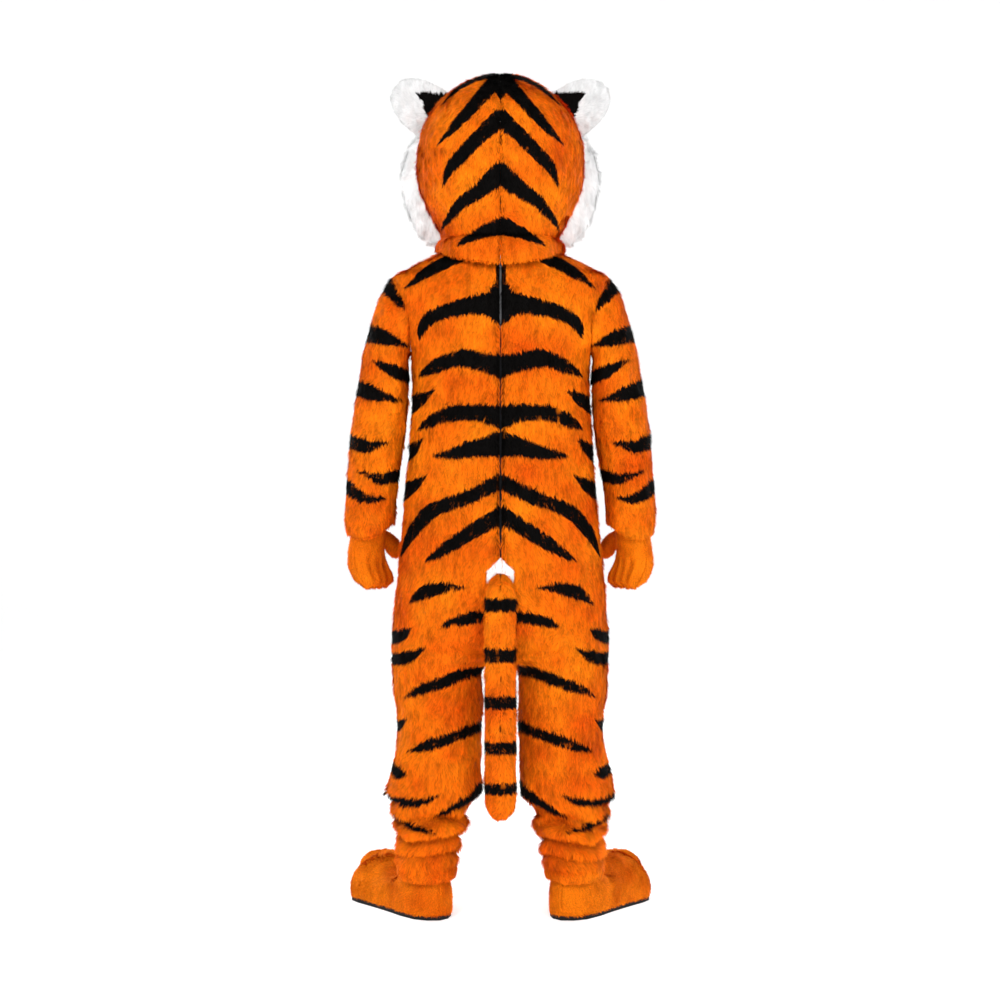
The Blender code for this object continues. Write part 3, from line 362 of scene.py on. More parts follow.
PLUSH_HAIR = pile_finish("orange_pile", 0.75)
# White pile glows faintly in its own colour: painted light, not a lamp.
WHITE_HAIR = pile_finish("white_pile", 0.8, 0.09)
PLUSH_CLOTH = cloth_finish("plush_backing", 0.45, 0.95)
WHITE_CLOTH = cloth_finish("white_backing", 0.80, 1.0)
SHORT_PLUSH = cloth_finish("short_plush_backing", 0.5, 1.0)
RUBBER = plain_finish("sole_rubber", (0.007, 0.007, 0.008), 0.8, 260.0, 0.0008, Specular_IOR_Level=0.2)
COIL = plain_finish("zip_coil", (0.050, 0.050, 0.054), 0.40, 500.0, 0.0003)
METAL = plain_finish("slider_metal", (0.10, 0.10, 0.11), 0.35, 700.0, 0.0002, Metallic=0.8)
# Black tape weave; on the zip's coil below ZIP_SHOWS_ABOVE it stands for painted shade.
TAPE_AND_COIL_SHADE = plain_finish("zip_tape_weave", (0.006, 0.006, 0.007), 0.85, 900.0, 0.0004, Specular_IOR_Level=0.1)
FELT = plain_finish("black_felt", (0.010, 0.010, 0.012), 0.55, 600.0, 0.0004, Coat_Weight=0.3)
NOSE = plain_finish("nose_felt", (0.55, 0.16, 0.14), 0.6, 500.0, 0.0006)
EYE_WHITE = plain_finish("eye_cloth", (0.82, 0.82, 0.80), 0.5, 700.0, 0.0003)


# ---------------------------------------------------------------- shells


def in_scene(name, data):
    """A new object of this mesh, lamp or camera, linked to the scene."""
    made = bpy.data.objects.new(name, data)
    bpy.context.scene.collection.objects.link(made)
    return made


def frame_object(node):
    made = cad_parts[node]
    return made if isinstance(made, bpy.types.Object) else bpy.data.objects[made]


def smooth_step(low, high, values):
    part = np.clip((values - low) / (high - low), 0, 1)
    return part * part * (3 - 2 * part)


# Folds of the gathered lower leg: height at the back, how far round the leg it is deepest (degrees
# from the back, outwards), how much it falls from there, half its height and its depth.
LegFold = namedtuple("LegFold", "z turn fall half depth")
LEG_FOLDS = [
    LegFold(0.264, -75, 0.036, 0.012, 0.006), LegFold(0.254, 72, -0.044, 0.011, 0.011),
    LegFold(0.230, -24, 0.046, 0.010, 0.017), LegFold(0.208, 58, -0.044, 0.010, 0.017),
    LegFold(0.192, -52, 0.036, 0.009, 0.016), LegFold(0.172, 32, -0.032, 0.009, 0.016),
    LegFold(0.152, -42, 0.022, 0.008, 0.011), LegFold(0.137, 66, -0.014, 0.007, 0.008),
    LegFold(0.240, 185, 0.024, 0.012, 0.013), LegFold(0.208, 150, 0.024, 0.011, 0.013),
    LegFold(0.172, 205, -0.020, 0.010, 0.011), LegFold(0.146, 165, 0.014, 0.008, 0.008),
]
LEG_CENTRE = 0.157
FOLDS_START, FOLDS_END = (0.118, 0.135), (0.30, 0.36)  # heights over which they come in and fade out
# Soft hollows of the body and sleeves: place, reach across and up, and depth.
Hollow = namedtuple("Hollow", "x y z reach_x reach_z depth")
HOLLOWS = [
    Hollow(0.150, 0.13, 1.285, 0.030, 0.060, 0.006), Hollow(0.110, 0.13, 1.150, 0.025, 0.080, 0.004),
    Hollow(0.060, 0.13, 1.020, 0.050, 0.030, 0.004), Hollow(0.165, 0.11, 0.990, 0.030, 0.060, 0.005),
    Hollow(0.080, 0.15, 0.640, 0.040, 0.020, 0.006), Hollow(0.140, 0.11, 0.560, 0.050, 0.016, 0.005),
    Hollow(0.120, 0.11, 0.500, 0.060, 0.014, 0.005), Hollow(0.270, 0.06, 1.110, 0.040, 0.016, 0.005),
    Hollow(0.255, 0.06, 1.160, 0.040, 0.014, 0.004), Hollow(0.300, 0.04, 1.000, 0.040, 0.014, 0.004),
]
HOLLOW_REACH_Y = 0.09


def fold_depth(points):
    """How far the cloth sinks at each point."""
    height = points[:, 2] + HELD_HEIGHT
    side = np.sign(points[:, 0]) + (points[:, 0] == 0)
    across = np.abs(points[:, 0])
    turn = np.degrees(np.arctan2(across - LEG_CENTRE, points[:, 1]))
    depth = np.zeros(len(points))
    for fold in LEG_FOLDS:
        away = np.abs((turn - fold.turn + 180) % 360 - 180)
        centre = fold.z - fold.fall * (away / 90) + 0.004 * side
        off = (height - centre) / fold.half
        reach = np.exp(-off ** 2) - 0.45 * np.exp(-(off - 1.7) ** 2)
        depth += fold.depth * reach * np.clip(1.2 - away / 85, 0, 1)
    depth *= smooth_step(*FOLDS_START, height) * (1 - smooth_step(*FOLDS_END, height))
    for spot in HOLLOWS:
        near = ((across - spot.x) / spot.reach_x) ** 2 + ((height - spot.z) / spot.reach_z) ** 2
        near += ((points[:, 1] - spot.y) / HOLLOW_REACH_Y) ** 2
        depth += spot.depth * np.exp(-near)
    depth += 0.0022 * value_noise(points, 0.09, 31) + 0.0012 * value_noise(points, 0.035, 32)
    return depth


SHELL_LEVELS = 2  # times that a solid's faces are divided
SHELL_WELD = 2e-5
SHARP = math.radians(50)  # edges of the solid that stay sharp


def shell_from(node, name, folds=0.0, middle=None):
    """A fine copy of a cut piece's solid that keeps its size, with its folds pressed in."""
    source = frame_object(node)
    mesh = bpy.data.meshes.new(name)
    shape = bmesh.new()
    shape.from_mesh(source.data)
    shape.transform(source.matrix_world)
    bmesh.ops.remove_doubles(shape, verts=shape.verts, dist=SHELL_WELD)
    bmesh.ops.join_triangles(shape, faces=shape.faces, cmp_seam=False, cmp_sharp=False, cmp_uvs=False,
                             cmp_vcols=False, cmp_materials=False, angle_face_threshold=math.radians(40),
                             angle_shape_threshold=SHARP)
    crease = shape.edges.layers.float.new("crease_edge")
    for edge in shape.edges:
        if len(edge.link_faces) == 2 and edge.calc_face_angle(0) > SHARP:
            edge[crease] = 1.0
    shape.to_mesh(mesh)
    shape.free()
    made = in_scene(name, mesh)
    change = made.modifiers.new("finer", "SUBSURF")
    change.levels = change.render_levels = SHELL_LEVELS
    true = corner_array(mesh)
    for _ in range(3):
        smoothed = corner_array(settled_mesh(made))[:len(true)]
        mesh.vertices.foreach_set("co", (corner_array(mesh) + true - smoothed).ravel())
        mesh.update()
    made.data = settled_mesh(made)
    made.modifiers.clear()
    if folds:
        points = corner_array(made.data)
        outward = points - middle(points)
        outward /= np.maximum(np.linalg.norm(outward, axis=1, keepdims=True), 1e-6)
        pressed = points - outward * (fold_depth(points) * folds)[:, None]
        made.data.vertices.foreach_set("co", pressed.ravel())
        made.data.update()
    made.data.shade_smooth()
    return made


def settled_mesh(made):
    """The mesh that an object's modifiers make."""
    graph = bpy.context.evaluated_depsgraph_get()
    graph.update()
    return bpy.data.meshes.new_from_object(made.evaluated_get(graph))


def corner_array(mesh):
    points = np.empty(len(mesh.vertices) * 3)
    mesh.vertices.foreach_get("co", points)
    return points.reshape(-1, 3)


def mesh_arrays(mesh):
    normals = np.empty(len(mesh.vertices) * 3)
    mesh.vertex_normals.foreach_get("vector", normals)
    return corner_array(mesh), normals.reshape(-1, 3)


def put_attribute(mesh, name, kind, values):
    layer = mesh.attributes.new(name, kind, "POINT")
    values = np.asarray(values, np.float32)
    if kind == "FLOAT_COLOR":
        values = np.concatenate([values, np.ones((len(values), 1), np.float32)], axis=1)
        layer.data.foreach_set("color", values.ravel())
    elif kind == "FLOAT_VECTOR":
        layer.data.foreach_set("vector", values.ravel())
    else:
        layer.data.foreach_set("value", values.ravel())


def dye_shell_with_painted_seam_shade(made, kind, base, finish, seam=0.0):
    """Dyes a shell, and paints shade into the seam at the middle, darkening it down there."""
    points = corner_array(made.data)
    colour = dyed(kind, points, base)
    # Painted shade: the shell is darkened near the middle seam, as if the seam's shadow fell there.
    if seam:
        colour = colour * (0.12 + 0.88 * smooth_step(seam, seam * 2.2, np.abs(points[:, 0])))[:, None]
    put_attribute(made.data, "dye", "FLOAT_COLOR", colour)
    made.data.materials.clear()
    made.data.materials.append(finish)


# ---------------------------------------------------------------- pile


def hair_blade():
    """One tuft: a pointed leaf, one unit long and one unit wide."""
    mesh = bpy.data.meshes.new("tuft")
    mesh.from_pydata([(-0.5, 0, 0), (0.5, 0, 0), (0, 0, 1)], [], [(0, 2, 1)])
    # Painted shade at the root and painted light at the tip; grow sets these again for every blade.
    put_attribute(mesh, "tone", "FLOAT", [0.72, 0.72, 1.10])
    return in_scene("tuft", mesh)


COVERED_SEAM = 0.12  # share of a seam's parting that is left where pile covers it


class Growth:
    """A Geometry Nodes tree that grows pile on a shell along its combed direction."""

    def __init__(self, finish):
        self.tree = bpy.data.node_groups.new("grow_pile", "GeometryNodeTree")
        self.sockets = {}
        for name, kind, value in (
            ("Shell", "NodeSocketGeometry", None), ("Density", "NodeSocketFloat", 1000.0),
            ("Length", "NodeSocketFloat", 0.012), ("Width", "NodeSocketFloat", 0.0025),
            ("Lift", "NodeSocketFloat", 0.35), ("Untidy", "NodeSocketFloat", 0.25),
            ("Seed", "NodeSocketInt", 0), ("Seam", "NodeSocketFloat", 0.0),
        ):
            made = self.tree.interface.new_socket(name, in_out="INPUT", socket_type=kind)
            if value is not None:
                made.default_value = value
            self.sockets[name] = made.identifier
        self.tree.interface.new_socket("Pile", in_out="OUTPUT", socket_type="NodeSocketGeometry")
        self.build(finish)

    def add(self, kind, settings=None, inputs=None):
        node = self.tree.nodes.new(kind)
        for name, value in (settings or {}).items():
            setattr(node, name, value)
        for name, value in (inputs or {}).items():
            if isinstance(value, bpy.types.NodeSocket):
                self.tree.links.new(value, node.inputs[name])
            else:
                node.inputs[name].default_value = value
        return node

    def named(self, name, kind):
        return self.add("GeometryNodeInputNamedAttribute", {"data_type": kind}, {"Name": name}).outputs[0]

    def vector(self, operation, first, second=None, scale=None):
        inputs = {0: first}
        if second is not None:
            inputs[1] = second
        if scale is not None:
            inputs["Scale"] = scale
        return self.add("ShaderNodeVectorMath", {"operation": operation}, inputs).outputs[0]

    def build(self, finish):
        given = self.add("NodeGroupInput").outputs
        scatter = self.add("GeometryNodeDistributePointsOnFaces", {"distribute_method": "RANDOM"}, {
            "Mesh": given["Shell"], "Density": given["Density"], "Seed": given["Seed"],
            "Selection": self.named("grows", "FLOAT")})
        position = self.add("GeometryNodeInputPosition").outputs[0]
        across = self.add("ShaderNodeSeparateXYZ", inputs={0: position}).outputs
        off = self.add("ShaderNodeMath", {"operation": "ABSOLUTE"}, {0: across[0]}).outputs[0]
        parted = self.add("ShaderNodeMath", {"operation": "GREATER_THAN"}, {
            0: across[2], 1: ZIP_SHOWS_ABOVE - HELD_HEIGHT}).outputs[0]
        share = self.add("ShaderNodeMath", {"operation": "MULTIPLY_ADD"}, {
            0: parted, 1: 1 - COVERED_SEAM, 2: COVERED_SEAM}).outputs[0]
        seam = self.add("ShaderNodeMath", {"operation": "MULTIPLY"}, {0: share, 1: given["Seam"]}).outputs[0]
        in_seam = self.add("FunctionNodeCompare", {"data_type": "FLOAT", "operation": "LESS_THAN"},
                           {0: off, 1: seam}).outputs[0]
        points = self.add("GeometryNodeDeleteGeometry", {"domain": "POINT"}, {
            "Geometry": scatter.outputs["Points"], "Selection": in_seam}).outputs[0]
        kept = self.add("GeometryNodeStoreNamedAttribute", {"data_type": "FLOAT_VECTOR", "domain": "POINT"}, {
            "Geometry": points, "Name": "normal", "Value": scatter.outputs["Normal"]}).outputs[0]
        normal, nap = self.named("normal", "FLOAT_VECTOR"), self.named("nap", "FLOAT_VECTOR")
        spread = self.add("FunctionNodeRandomValue", {"data_type": "FLOAT_VECTOR"}, {
            0: (-1.0, -1.0, -1.0), 1: (1.0, 1.0, 1.0), "Seed": given["Seed"]}).outputs[0]
        way = self.vector("NORMALIZE", nap)
        raised = self.vector("SCALE", normal, scale=given["Lift"])
        untidy = self.vector("SCALE", spread, scale=given["Untidy"])
        way = self.vector("NORMALIZE", self.vector("ADD", self.vector("ADD", way, raised), untidy))
        side = self.vector("NORMALIZE", self.vector("CROSS_PRODUCT", normal, way))
        turn = self.add("FunctionNodeAxesToRotation", {"primary_axis": "Z", "secondary_axis": "X"}, {
            "Primary Axis": way, "Secondary Axis": side}).outputs[0]
        size = self.add("FunctionNodeRandomValue", {"data_type": "FLOAT"}, {
            2: 0.7, 3: 1.25, "Seed": given["Seed"]}).outputs[1]
        long = self.add("ShaderNodeMath", {"operation": "MULTIPLY"}, {0: size, 1: given["Length"]}).outputs[0]
        scale = self.add("ShaderNodeCombineXYZ", inputs={0: given["Width"], 1: long, 2: long}).outputs[0]
        tuft = self.add("GeometryNodeObjectInfo", inputs={"Object": TUFT}).outputs["Geometry"]
        grown = self.add("GeometryNodeInstanceOnPoints", inputs={
            "Points": kept, "Instance": tuft, "Rotation": turn, "Scale": scale}).outputs[0]
        solid = self.add("GeometryNodeRealizeInstances", inputs={"Geometry": grown}).outputs[0]
        named = self.add("GeometryNodeSetMaterial", inputs={"Geometry": solid, "Material": finish}).outputs[0]
        self.tree.links.new(named, self.add("NodeGroupOutput").inputs[0])


TUFT = hair_blade()
GROWTHS = {"orange": Growth(PLUSH_HAIR), "white": Growth(WHITE_HAIR)}


def combed(points, normals, direction, swirl):
    """The direction of the nap: a general way, laid on the surface and ruffled."""
    way = direction(points)
    for axis in range(3):
        way[:, axis] += swirl * value_noise(points, 0.045, 41 + axis)
        way[:, axis] += swirl * value_noise(points, 0.017, 51 + axis)
    way -= normals * np.sum(way * normals, axis=1, keepdims=True)
    size = np.linalg.norm(way, axis=1, keepdims=True)
    return way / np.maximum(size, 1e-6)


LOCK_SIZE = 0.0070  # across a lock of hair, which is longer down than across
LOCK_FLAT = np.array([1, 1, 0.45])
LOCK_STEP = 0.002
LOCK_SEED = 61


def locks(roots):
    """How far out on its lock of hair each root is, and which way its tip is drawn to the lock's ridge."""
    middle = value_noise(roots * LOCK_FLAT, LOCK_SIZE, LOCK_SEED)
    lean = np.empty_like(roots)
    for axis in range(3):
        step = np.zeros(3)
        step[axis] = LOCK_STEP
        lean[:, axis] = value_noise((roots + step) * LOCK_FLAT, LOCK_SIZE, LOCK_SEED) - middle
    return middle, lean * 2.4


def shag(kind, roots):
    """How much longer the pile is on the gathered lower legs, as a share of its length."""
    if kind != "body":
        return np.zeros(len(roots))
    return 0.5 * (1 - smooth_step(0.25, 0.36, roots[:, 2] + HELD_HEIGHT))


ZIP_SEAM = 0.003  # a parting wider than this is the zip's
ZIP_COVER = 0.008  # half the width of the pile that leans over it
# Painted shade in the folds: FOLD_SHADE is the fold depth where it is darkest, FOLD_SHADE_TOP the height over
# the soles above which none is painted.
FOLD_SHADE = 0.013  # depth at which a fold's pile has its darkest colour
FOLD_SHADE_TOP = 0.31
PULL = 0.5  # how far side-on hairs shade as if turned to the back, and front ones to the front


def grow(shell, name, kind, base, density, length, width, lift, untidy, direction, swirl, seed,
         seam=0.0, where=None):
    """A separate piece of pile that covers the outside of a shell."""
    points, normals = mesh_arrays(shell.data)
    put_attribute(shell.data, "nap", "FLOAT_VECTOR", combed(points, normals, direction, swirl))
    grows = np.ones(len(points)) if where is None else where(points, normals).astype(float)
    put_attribute(shell.data, "grows", "FLOAT", grows)
    growth = GROWTHS[base]
    clump = 0.4 if kind == "short" else 1.0
    change = shell.modifiers.new("pile", "NODES")
    change.node_group = growth.tree
    for socket, value in (("Density", float(density)), ("Length", length), ("Width", width),
                          ("Lift", lift), ("Untidy", untidy), ("Seed", seed), ("Seam", seam)):
        change[growth.sockets[socket]] = value
    mesh = settled_mesh(shell)
    shell.modifiers.remove(change)
    mesh.name = name
    made = in_scene(name, mesh)
    blades = corner_array(mesh).reshape(-1, 3, 3)
    lock, lean = locks(blades[:, 0])
    blades[:, 2] += (blades[:, 2] - blades[:, 0]) * shag(kind, blades[:, 0])[:, None]
    blades[:, 2] += lean * (0.45 * length * clump)
    if seam > ZIP_SEAM:
        over_zip = (np.abs(blades[:, 0, 0]) < ZIP_COVER) & (blades[:, 0, 2] < ZIP_SHOWS_ABOVE - HELD_HEIGHT)
        blades[over_zip, 2, 0] *= 0.30
    mesh.vertices.foreach_set("co", blades.ravel())
    colour = dyed(kind, blades.mean(axis=1), base)
    # Painted shade: pile sunk in the folds of the lower legs is darkened toward a deep red, most where the
    # fold is deepest.
    if kind == "body":
        painted_fold_shade = np.clip(fold_depth(blades[:, 0]) / FOLD_SHADE, 0, 1)[:, None]
        painted_fold_shade *= (blades[:, :1, 2] < FOLD_SHADE_TOP - HELD_HEIGHT) * 0.65
        colour = colour + (np.minimum(DEEP * 0.62, colour) - colour) * painted_fold_shade
    put_attribute(mesh, "dye", "FLOAT_COLOR", np.repeat(colour, 3, axis=0))
    rng = np.random.default_rng(seed)
    # Painted light and shade: pile high on its lock is lighter and low on it darker, along with a tone that
    # differs at random from blade to blade; each blade is darker at its root (painted shade) and lighter at
    # its tip (painted light).
    tuft = 1 + clump * (0.17 * lock + 0.08 * value_noise(blades[:, 0], 0.028, 62))
    tuft += 0.09 * rng.standard_normal(len(blades))
    root_shade_tip_light = [0.60, 0.60, 1.22] if base == "orange" else [0.93, 0.93, 1.03]
    tone = np.outer(np.clip(tuft, 0.65, 1.35) if base == "orange" else 0.5 + tuft / 2, root_shade_tip_light)
    mesh.attributes["tone"].data.foreach_set("value", tone.ravel().astype(np.float32))
    facing = np.empty(len(mesh.vertices) * 3, np.float32)
    mesh.attributes["normal"].data.foreach_get("vector", facing)
    waves = [value_noise(blades[:, 0] * [1, 1, 0.6], 0.010, wave_seed) for wave_seed in (71, 72, 73)]
    ruffled = np.stack(waves, axis=1)
    ruffled = ruffled * 0.55 * clump + rng.normal(0, 0.16, (len(blades), 3))
    facing = facing.reshape(-1, 3) + np.repeat(ruffled, 3, axis=0)
    level = 1 - np.abs(facing[:, 1])
    facing[:, 1] += PULL * np.clip(level, 0, 1) * np.clip((facing[:, 1] + 0.2) * 3, -1, 1)
    facing /= np.linalg.norm(facing, axis=1, keepdims=True)
    for spare in ("normal", "nap", "grows"):
        if spare in mesh.attributes:
            mesh.attributes.remove(mesh.attributes[spare])
    mesh.normals_split_custom_set_from_vertices(facing)
    for spare in ("nap", "grows"):
        shell.data.attributes.remove(shell.data.attributes[spare])
    return made


def outside_of(centre_of):
    """Picks the outer side of a wall: where its normal points away from the piece's middle line."""
    def outer(points, normals):
        return np.sum((points - centre_of(points)) * normals, axis=1) > 0
    return outer


def body_middle(points):
    """The middle line of the trunk and the legs at each point's height, raised under the fork."""
    height = points[:, 2] + HELD_HEIGHT
    share = 1 - smooth_step(0.62, 0.70, height)
    middle = np.zeros_like(points)
    middle[:, 0] = np.sign(points[:, 0]) * share * np.interp(height, [0.1, 0.3, 0.6], [0.162, 0.145, 0.12])
    middle[:, 2] = points[:, 2] + 0.06 * np.exp(-((height - 0.66) / 0.05) ** 2)
    return middle


def sleeve_middle(points):
    height = points[:, 2] + HELD_HEIGHT
    middle = np.zeros_like(points)
    centre = np.interp(height, [0.85, 0.95, 1.1, 1.25, 1.35, 1.42], [0.293, 0.289, 0.272, 0.25, 0.236, 0.232])
    middle[:, 0] = np.sign(points[:, 0]) * centre
    middle[:, 1] = -0.015
    middle[:, 2] = points[:, 2]
    return middle


def head_middle(points):
    middle = np.zeros_like(points)
    middle[:, 2] = 1.67 - HELD_HEIGHT
    return middle


def neck_middle(points):
    middle = np.zeros_like(points)
    middle[:, 2] = points[:, 2]
    return middle


def down_and_out(points):
    """Down, and a little away from the body's middle."""
    way = np.tile([0.0, 0.0, -1.0], (len(points), 1))
    way[:, 0] = np.sign(points[:, 0]) * 0.12
    return way


def declare(piece, node, pile=None):
    """Hangs the piece and its pile under the root, and hides the cut piece that it stands for."""
    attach(piece, "root")
    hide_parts(node)
    if pile:
        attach(pile, "root")


# ---------------------------------------------------------------- pieces

# A cloth piece's flat cut, in metres and square metres, and how it is held.
Cut = namedtuple("Cut", "width length area held")
GLOVE_CUT = Cut(0.14, 0.20, 0.022, "stretched")
THUMB_CUT = Cut(0.11, 0.06, 0.0062, "stretched")

made_pieces = {}  # each new piece's seed comes from how many there are
SIDES = ("left", "right")


def plush_piece(node, kind, folds, middle, density, length=0.0095, width=0.0022, lift=0.30,
                untidy=0.22, swirl=0.5, seam=0.0, finish=PLUSH_CLOTH):
    """A piece of orange plush: its folds' share of full depth, and its pile's sizes."""
    shell = shell_from(node, f"{node}_cloth", folds, middle)
    pile = grow(shell, f"{node}_pile", kind, "orange", density, length, width, lift, untidy, down_and_out,
                swirl, len(made_pieces) + 1, seam, outside_of(middle))
    dye_shell_with_painted_seam_shade(shell, kind, "orange", finish, seam)
    declare(shell, node, pile)
    made_pieces[node] = shell


def build_suit():
    for side in SIDES:
        for part in ("back", "front"):
            density, seam = (240000, 0.0035) if part == "back" else (175000, 0.0012)
            plush_piece(f"suit_{part}_{side}", "body", 1.0, body_middle, density, 0.011, seam=seam)
        plush_piece(f"sleeve_{side}", "sleeve", 0.8, sleeve_middle, 235000)
        plush_piece(f"ankle_cuff_{side}", "plain", 0.0, body_middle, 270000, 0.007)


def build_head():
    for side in SIDES:
        for part in ("back", "front"):
            plush_piece(f"head_{part}_{side}", f"head_{part}", 0.4, head_middle, 260000,
                        0.010, seam=0.0012 if part == "back" else 0.0)
        plush_piece(f"neck_skirt_{side}", "skirt", 0.3, neck_middle, 280000, 0.008, seam=0.0004)


def foot_middle(points):
    middle = np.zeros_like(points)
    along = np.clip((0.006 - points[:, 1]) / 0.891, 0.0, 0.25)
    middle[:, 0] = np.sign(points[:, 0]) * (0.158 + along * 0.454)
    middle[:, 1] = 0.006 - along * 0.891
    middle[:, 2] = 0.035 - HELD_HEIGHT
    return middle


def build_feet_and_gloves():
    for side in SIDES:
        for part in ("outer", "inner"):
            plush_piece(f"foot_{part}_{side}", "short", 0.3, foot_middle, 260000, 0.0060,
                        0.0019, 0.5, 0.45, swirl=0.8, finish=SHORT_PLUSH)
        for part, cut in (("palm", GLOVE_CUT), ("back", GLOVE_CUT), ("thumb", THUMB_CUT)):
            plush_piece(f"glove_{part}_{side}", "short", 0.0, hand_middle, 260000, 0.0060,
                        0.0019, 0.5, 0.45, swirl=0.8, finish=SHORT_PLUSH)


def hand_middle(points):
    height = points[:, 2] + HELD_HEIGHT
    middle = np.zeros_like(points)
    centre = np.interp(height, [0.735, 0.75, 0.79, 0.83, 0.89], [0.279, 0.284, 0.298, 0.30, 0.296])
    middle[:, 0] = np.sign(points[:, 0]) * centre
    middle[:, 1] = points[:, 1]
    middle[:, 2] = points[:, 2]
    near = np.abs(points[:, 1] + 0.03) < 0.05
    middle[near, 1] = -0.03 + (points[near, 1] + 0.03) * 0.8
    thumb = (points[:, 1] < -0.066) & (np.abs(points[:, 0]) < 0.275)
    middle[thumb, 0] = np.sign(points[thumb, 0]) * 0.247
    middle[thumb, 1] = -0.080
    return middle


def white_piece(node, kind, middle, density, length, width, lift, untidy, direction, swirl,
                shaped=None):
    """A piece of white fur: the middle that its outer side faces away from, and its pile's sizes."""
    shell = shell_from(node, f"{node}_cloth")
    if shaped:
        shell.data.vertices.foreach_set("co", shaped(corner_array(shell.data)).ravel())
    pile = grow(shell, f"{node}_pile", kind, "white", density, length, width, lift, untidy, direction,
                swirl, len(made_pieces) + 1, 0.0, outside_of(middle) if middle else None)
    dye_shell_with_painted_seam_shade(shell, kind, "white", WHITE_CLOTH)
    declare(shell, node, pile)
    made_pieces[node] = shell


def ear_out(points):
    way = np.zeros_like(points)
    way[:, 0] = points[:, 0] - np.sign(points[:, 0]) * 0.135
    way[:, 2] = points[:, 2] - (1.792 - HELD_HEIGHT)
    return way / np.maximum(np.linalg.norm(way, axis=1, keepdims=True), 1e-6)


def ruff_out(points):
    """Back and out from the cheek, and down below its middle."""
    way = np.tile([0.0, 0.45, 0.0], (len(points), 1))
    way[:, 0] = np.sign(points[:, 0]) * 0.5
    way[:, 2] = np.clip((points[:, 2] - (1.69 - HELD_HEIGHT)) * 9, -1.0, 0.7)
    return way


def muzzle_out(points):
    way = np.zeros_like(points)
    way[:, 0] = points[:, 0] * 8
    way[:, 2] = (points[:, 2] - (1.65 - HELD_HEIGHT)) * 8
    return way


def build_face():
    for side in SIDES:
        white_piece(f"ruff_{side}", "plain", head_middle, 330000, 0.017, 0.0022, 0.28, 0.20, ruff_out, 0.4)
        for part in ("back", "front"):
            kind = f"ear_{part}"
            white_piece(f"ear_{part}_{side}", kind, None, 350000, 0.008, 0.0022, 0.45, 0.28, ear_out, 0.4)
        for node, finish in ((f"eye_{side}", EYE_WHITE), (f"pupil_{side}", FELT)):
            hard_copy(node, finish)
    for node in ("muzzle", "chin"):
        white_piece(node, "plain", head_middle, 300000, 0.008, 0.0020, 0.28, 0.20, muzzle_out, 0.3)
    hard_copy("nose", NOSE)


def hard_copy(node, finish):
    """A felt piece with no pile, as fine as the shells."""
    shell = shell_from(node, f"{node}_shaped")
    shell.data.materials.clear()
    shell.data.materials.append(finish)
    declare(shell, node)


def tail_middle(points):
    middle = np.zeros_like(points)
    middle[:, 1] = 0.195
    middle[:, 2] = points[:, 2]
    return middle


def pointed(points):
    """The patch's upper edge drawn down from its middle to its corners."""
    low, high = points[:, 2].min(), points[:, 2].max()
    drop = 0.014 * np.abs(points[:, 0]) / 0.028 * (points[:, 2] - low) / (high - low)
    return points - drop[:, None] * [0, 0, 1]


def patch_down(points):
    return np.tile([0.0, 0.2, -1.0], (len(points), 1))


def build_tail():
    plush_piece("tail", "tail", 0.3, tail_middle, 280000, seam=0.0012)
    white_piece("tail_patch", "plain", None, 500000, 0.009, 0.0018, 0.3, 0.25, patch_down, 0.3,
                shaped=pointed)


def zip_line(heights):
    """How far back the zip's teeth reach at each height, from the teeth's own solid."""
    points = corner_array(frame_object("zip_teeth").data)
    levels = np.unique(points[:, 2].round(4))
    back = [points[np.abs(points[:, 2] - level) < 2e-4, 1].max() for level in levels]
    return np.interp(heights, levels, back)


def build_coil():
    """The nylon coil: a row of rounded bars from each side, set between one another."""
    low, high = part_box("zip_teeth")
    pitch, end = 0.0021, 0.004
    heights = np.arange(low.z + end, high.z - end, pitch / 2)
    backs = zip_line(heights)
    hidden_in_painted_shade = heights < ZIP_SHOWS_ABOVE - HELD_HEIGHT
    shape = bmesh.new()
    for index, (height, back) in enumerate(zip(heights, backs)):
        bar = bmesh.ops.create_cube(shape, size=1.0)["verts"]
        side = 1 if index % 2 else -1
        if hidden_in_painted_shade[index]:
            back -= 0.0004
        # Bars below ZIP_SHOWS_ABOVE take the black tape finish: painted shade under the pile that leans over
        # them.
        for face in {face for corner in bar for face in corner.link_faces}:
            face.material_index = int(hidden_in_painted_shade[index])
        for corner in bar:
            corner.co.x = corner.co.x * 0.0034 + side * 0.0007
            corner.co.y = corner.co.y * 0.0012 * (1.0 - 0.35 * abs(corner.co.z) * 2) + back + 0.0004
            corner.co.z = corner.co.z * 0.0008 + height
    mesh = bpy.data.meshes.new("zip_coil")
    shape.to_mesh(mesh)
    shape.free()
    coil = in_scene("zip_coil", mesh)
    mesh.materials.append(COIL)
    mesh.materials.append(TAPE_AND_COIL_SHADE)
    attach(coil, "root")


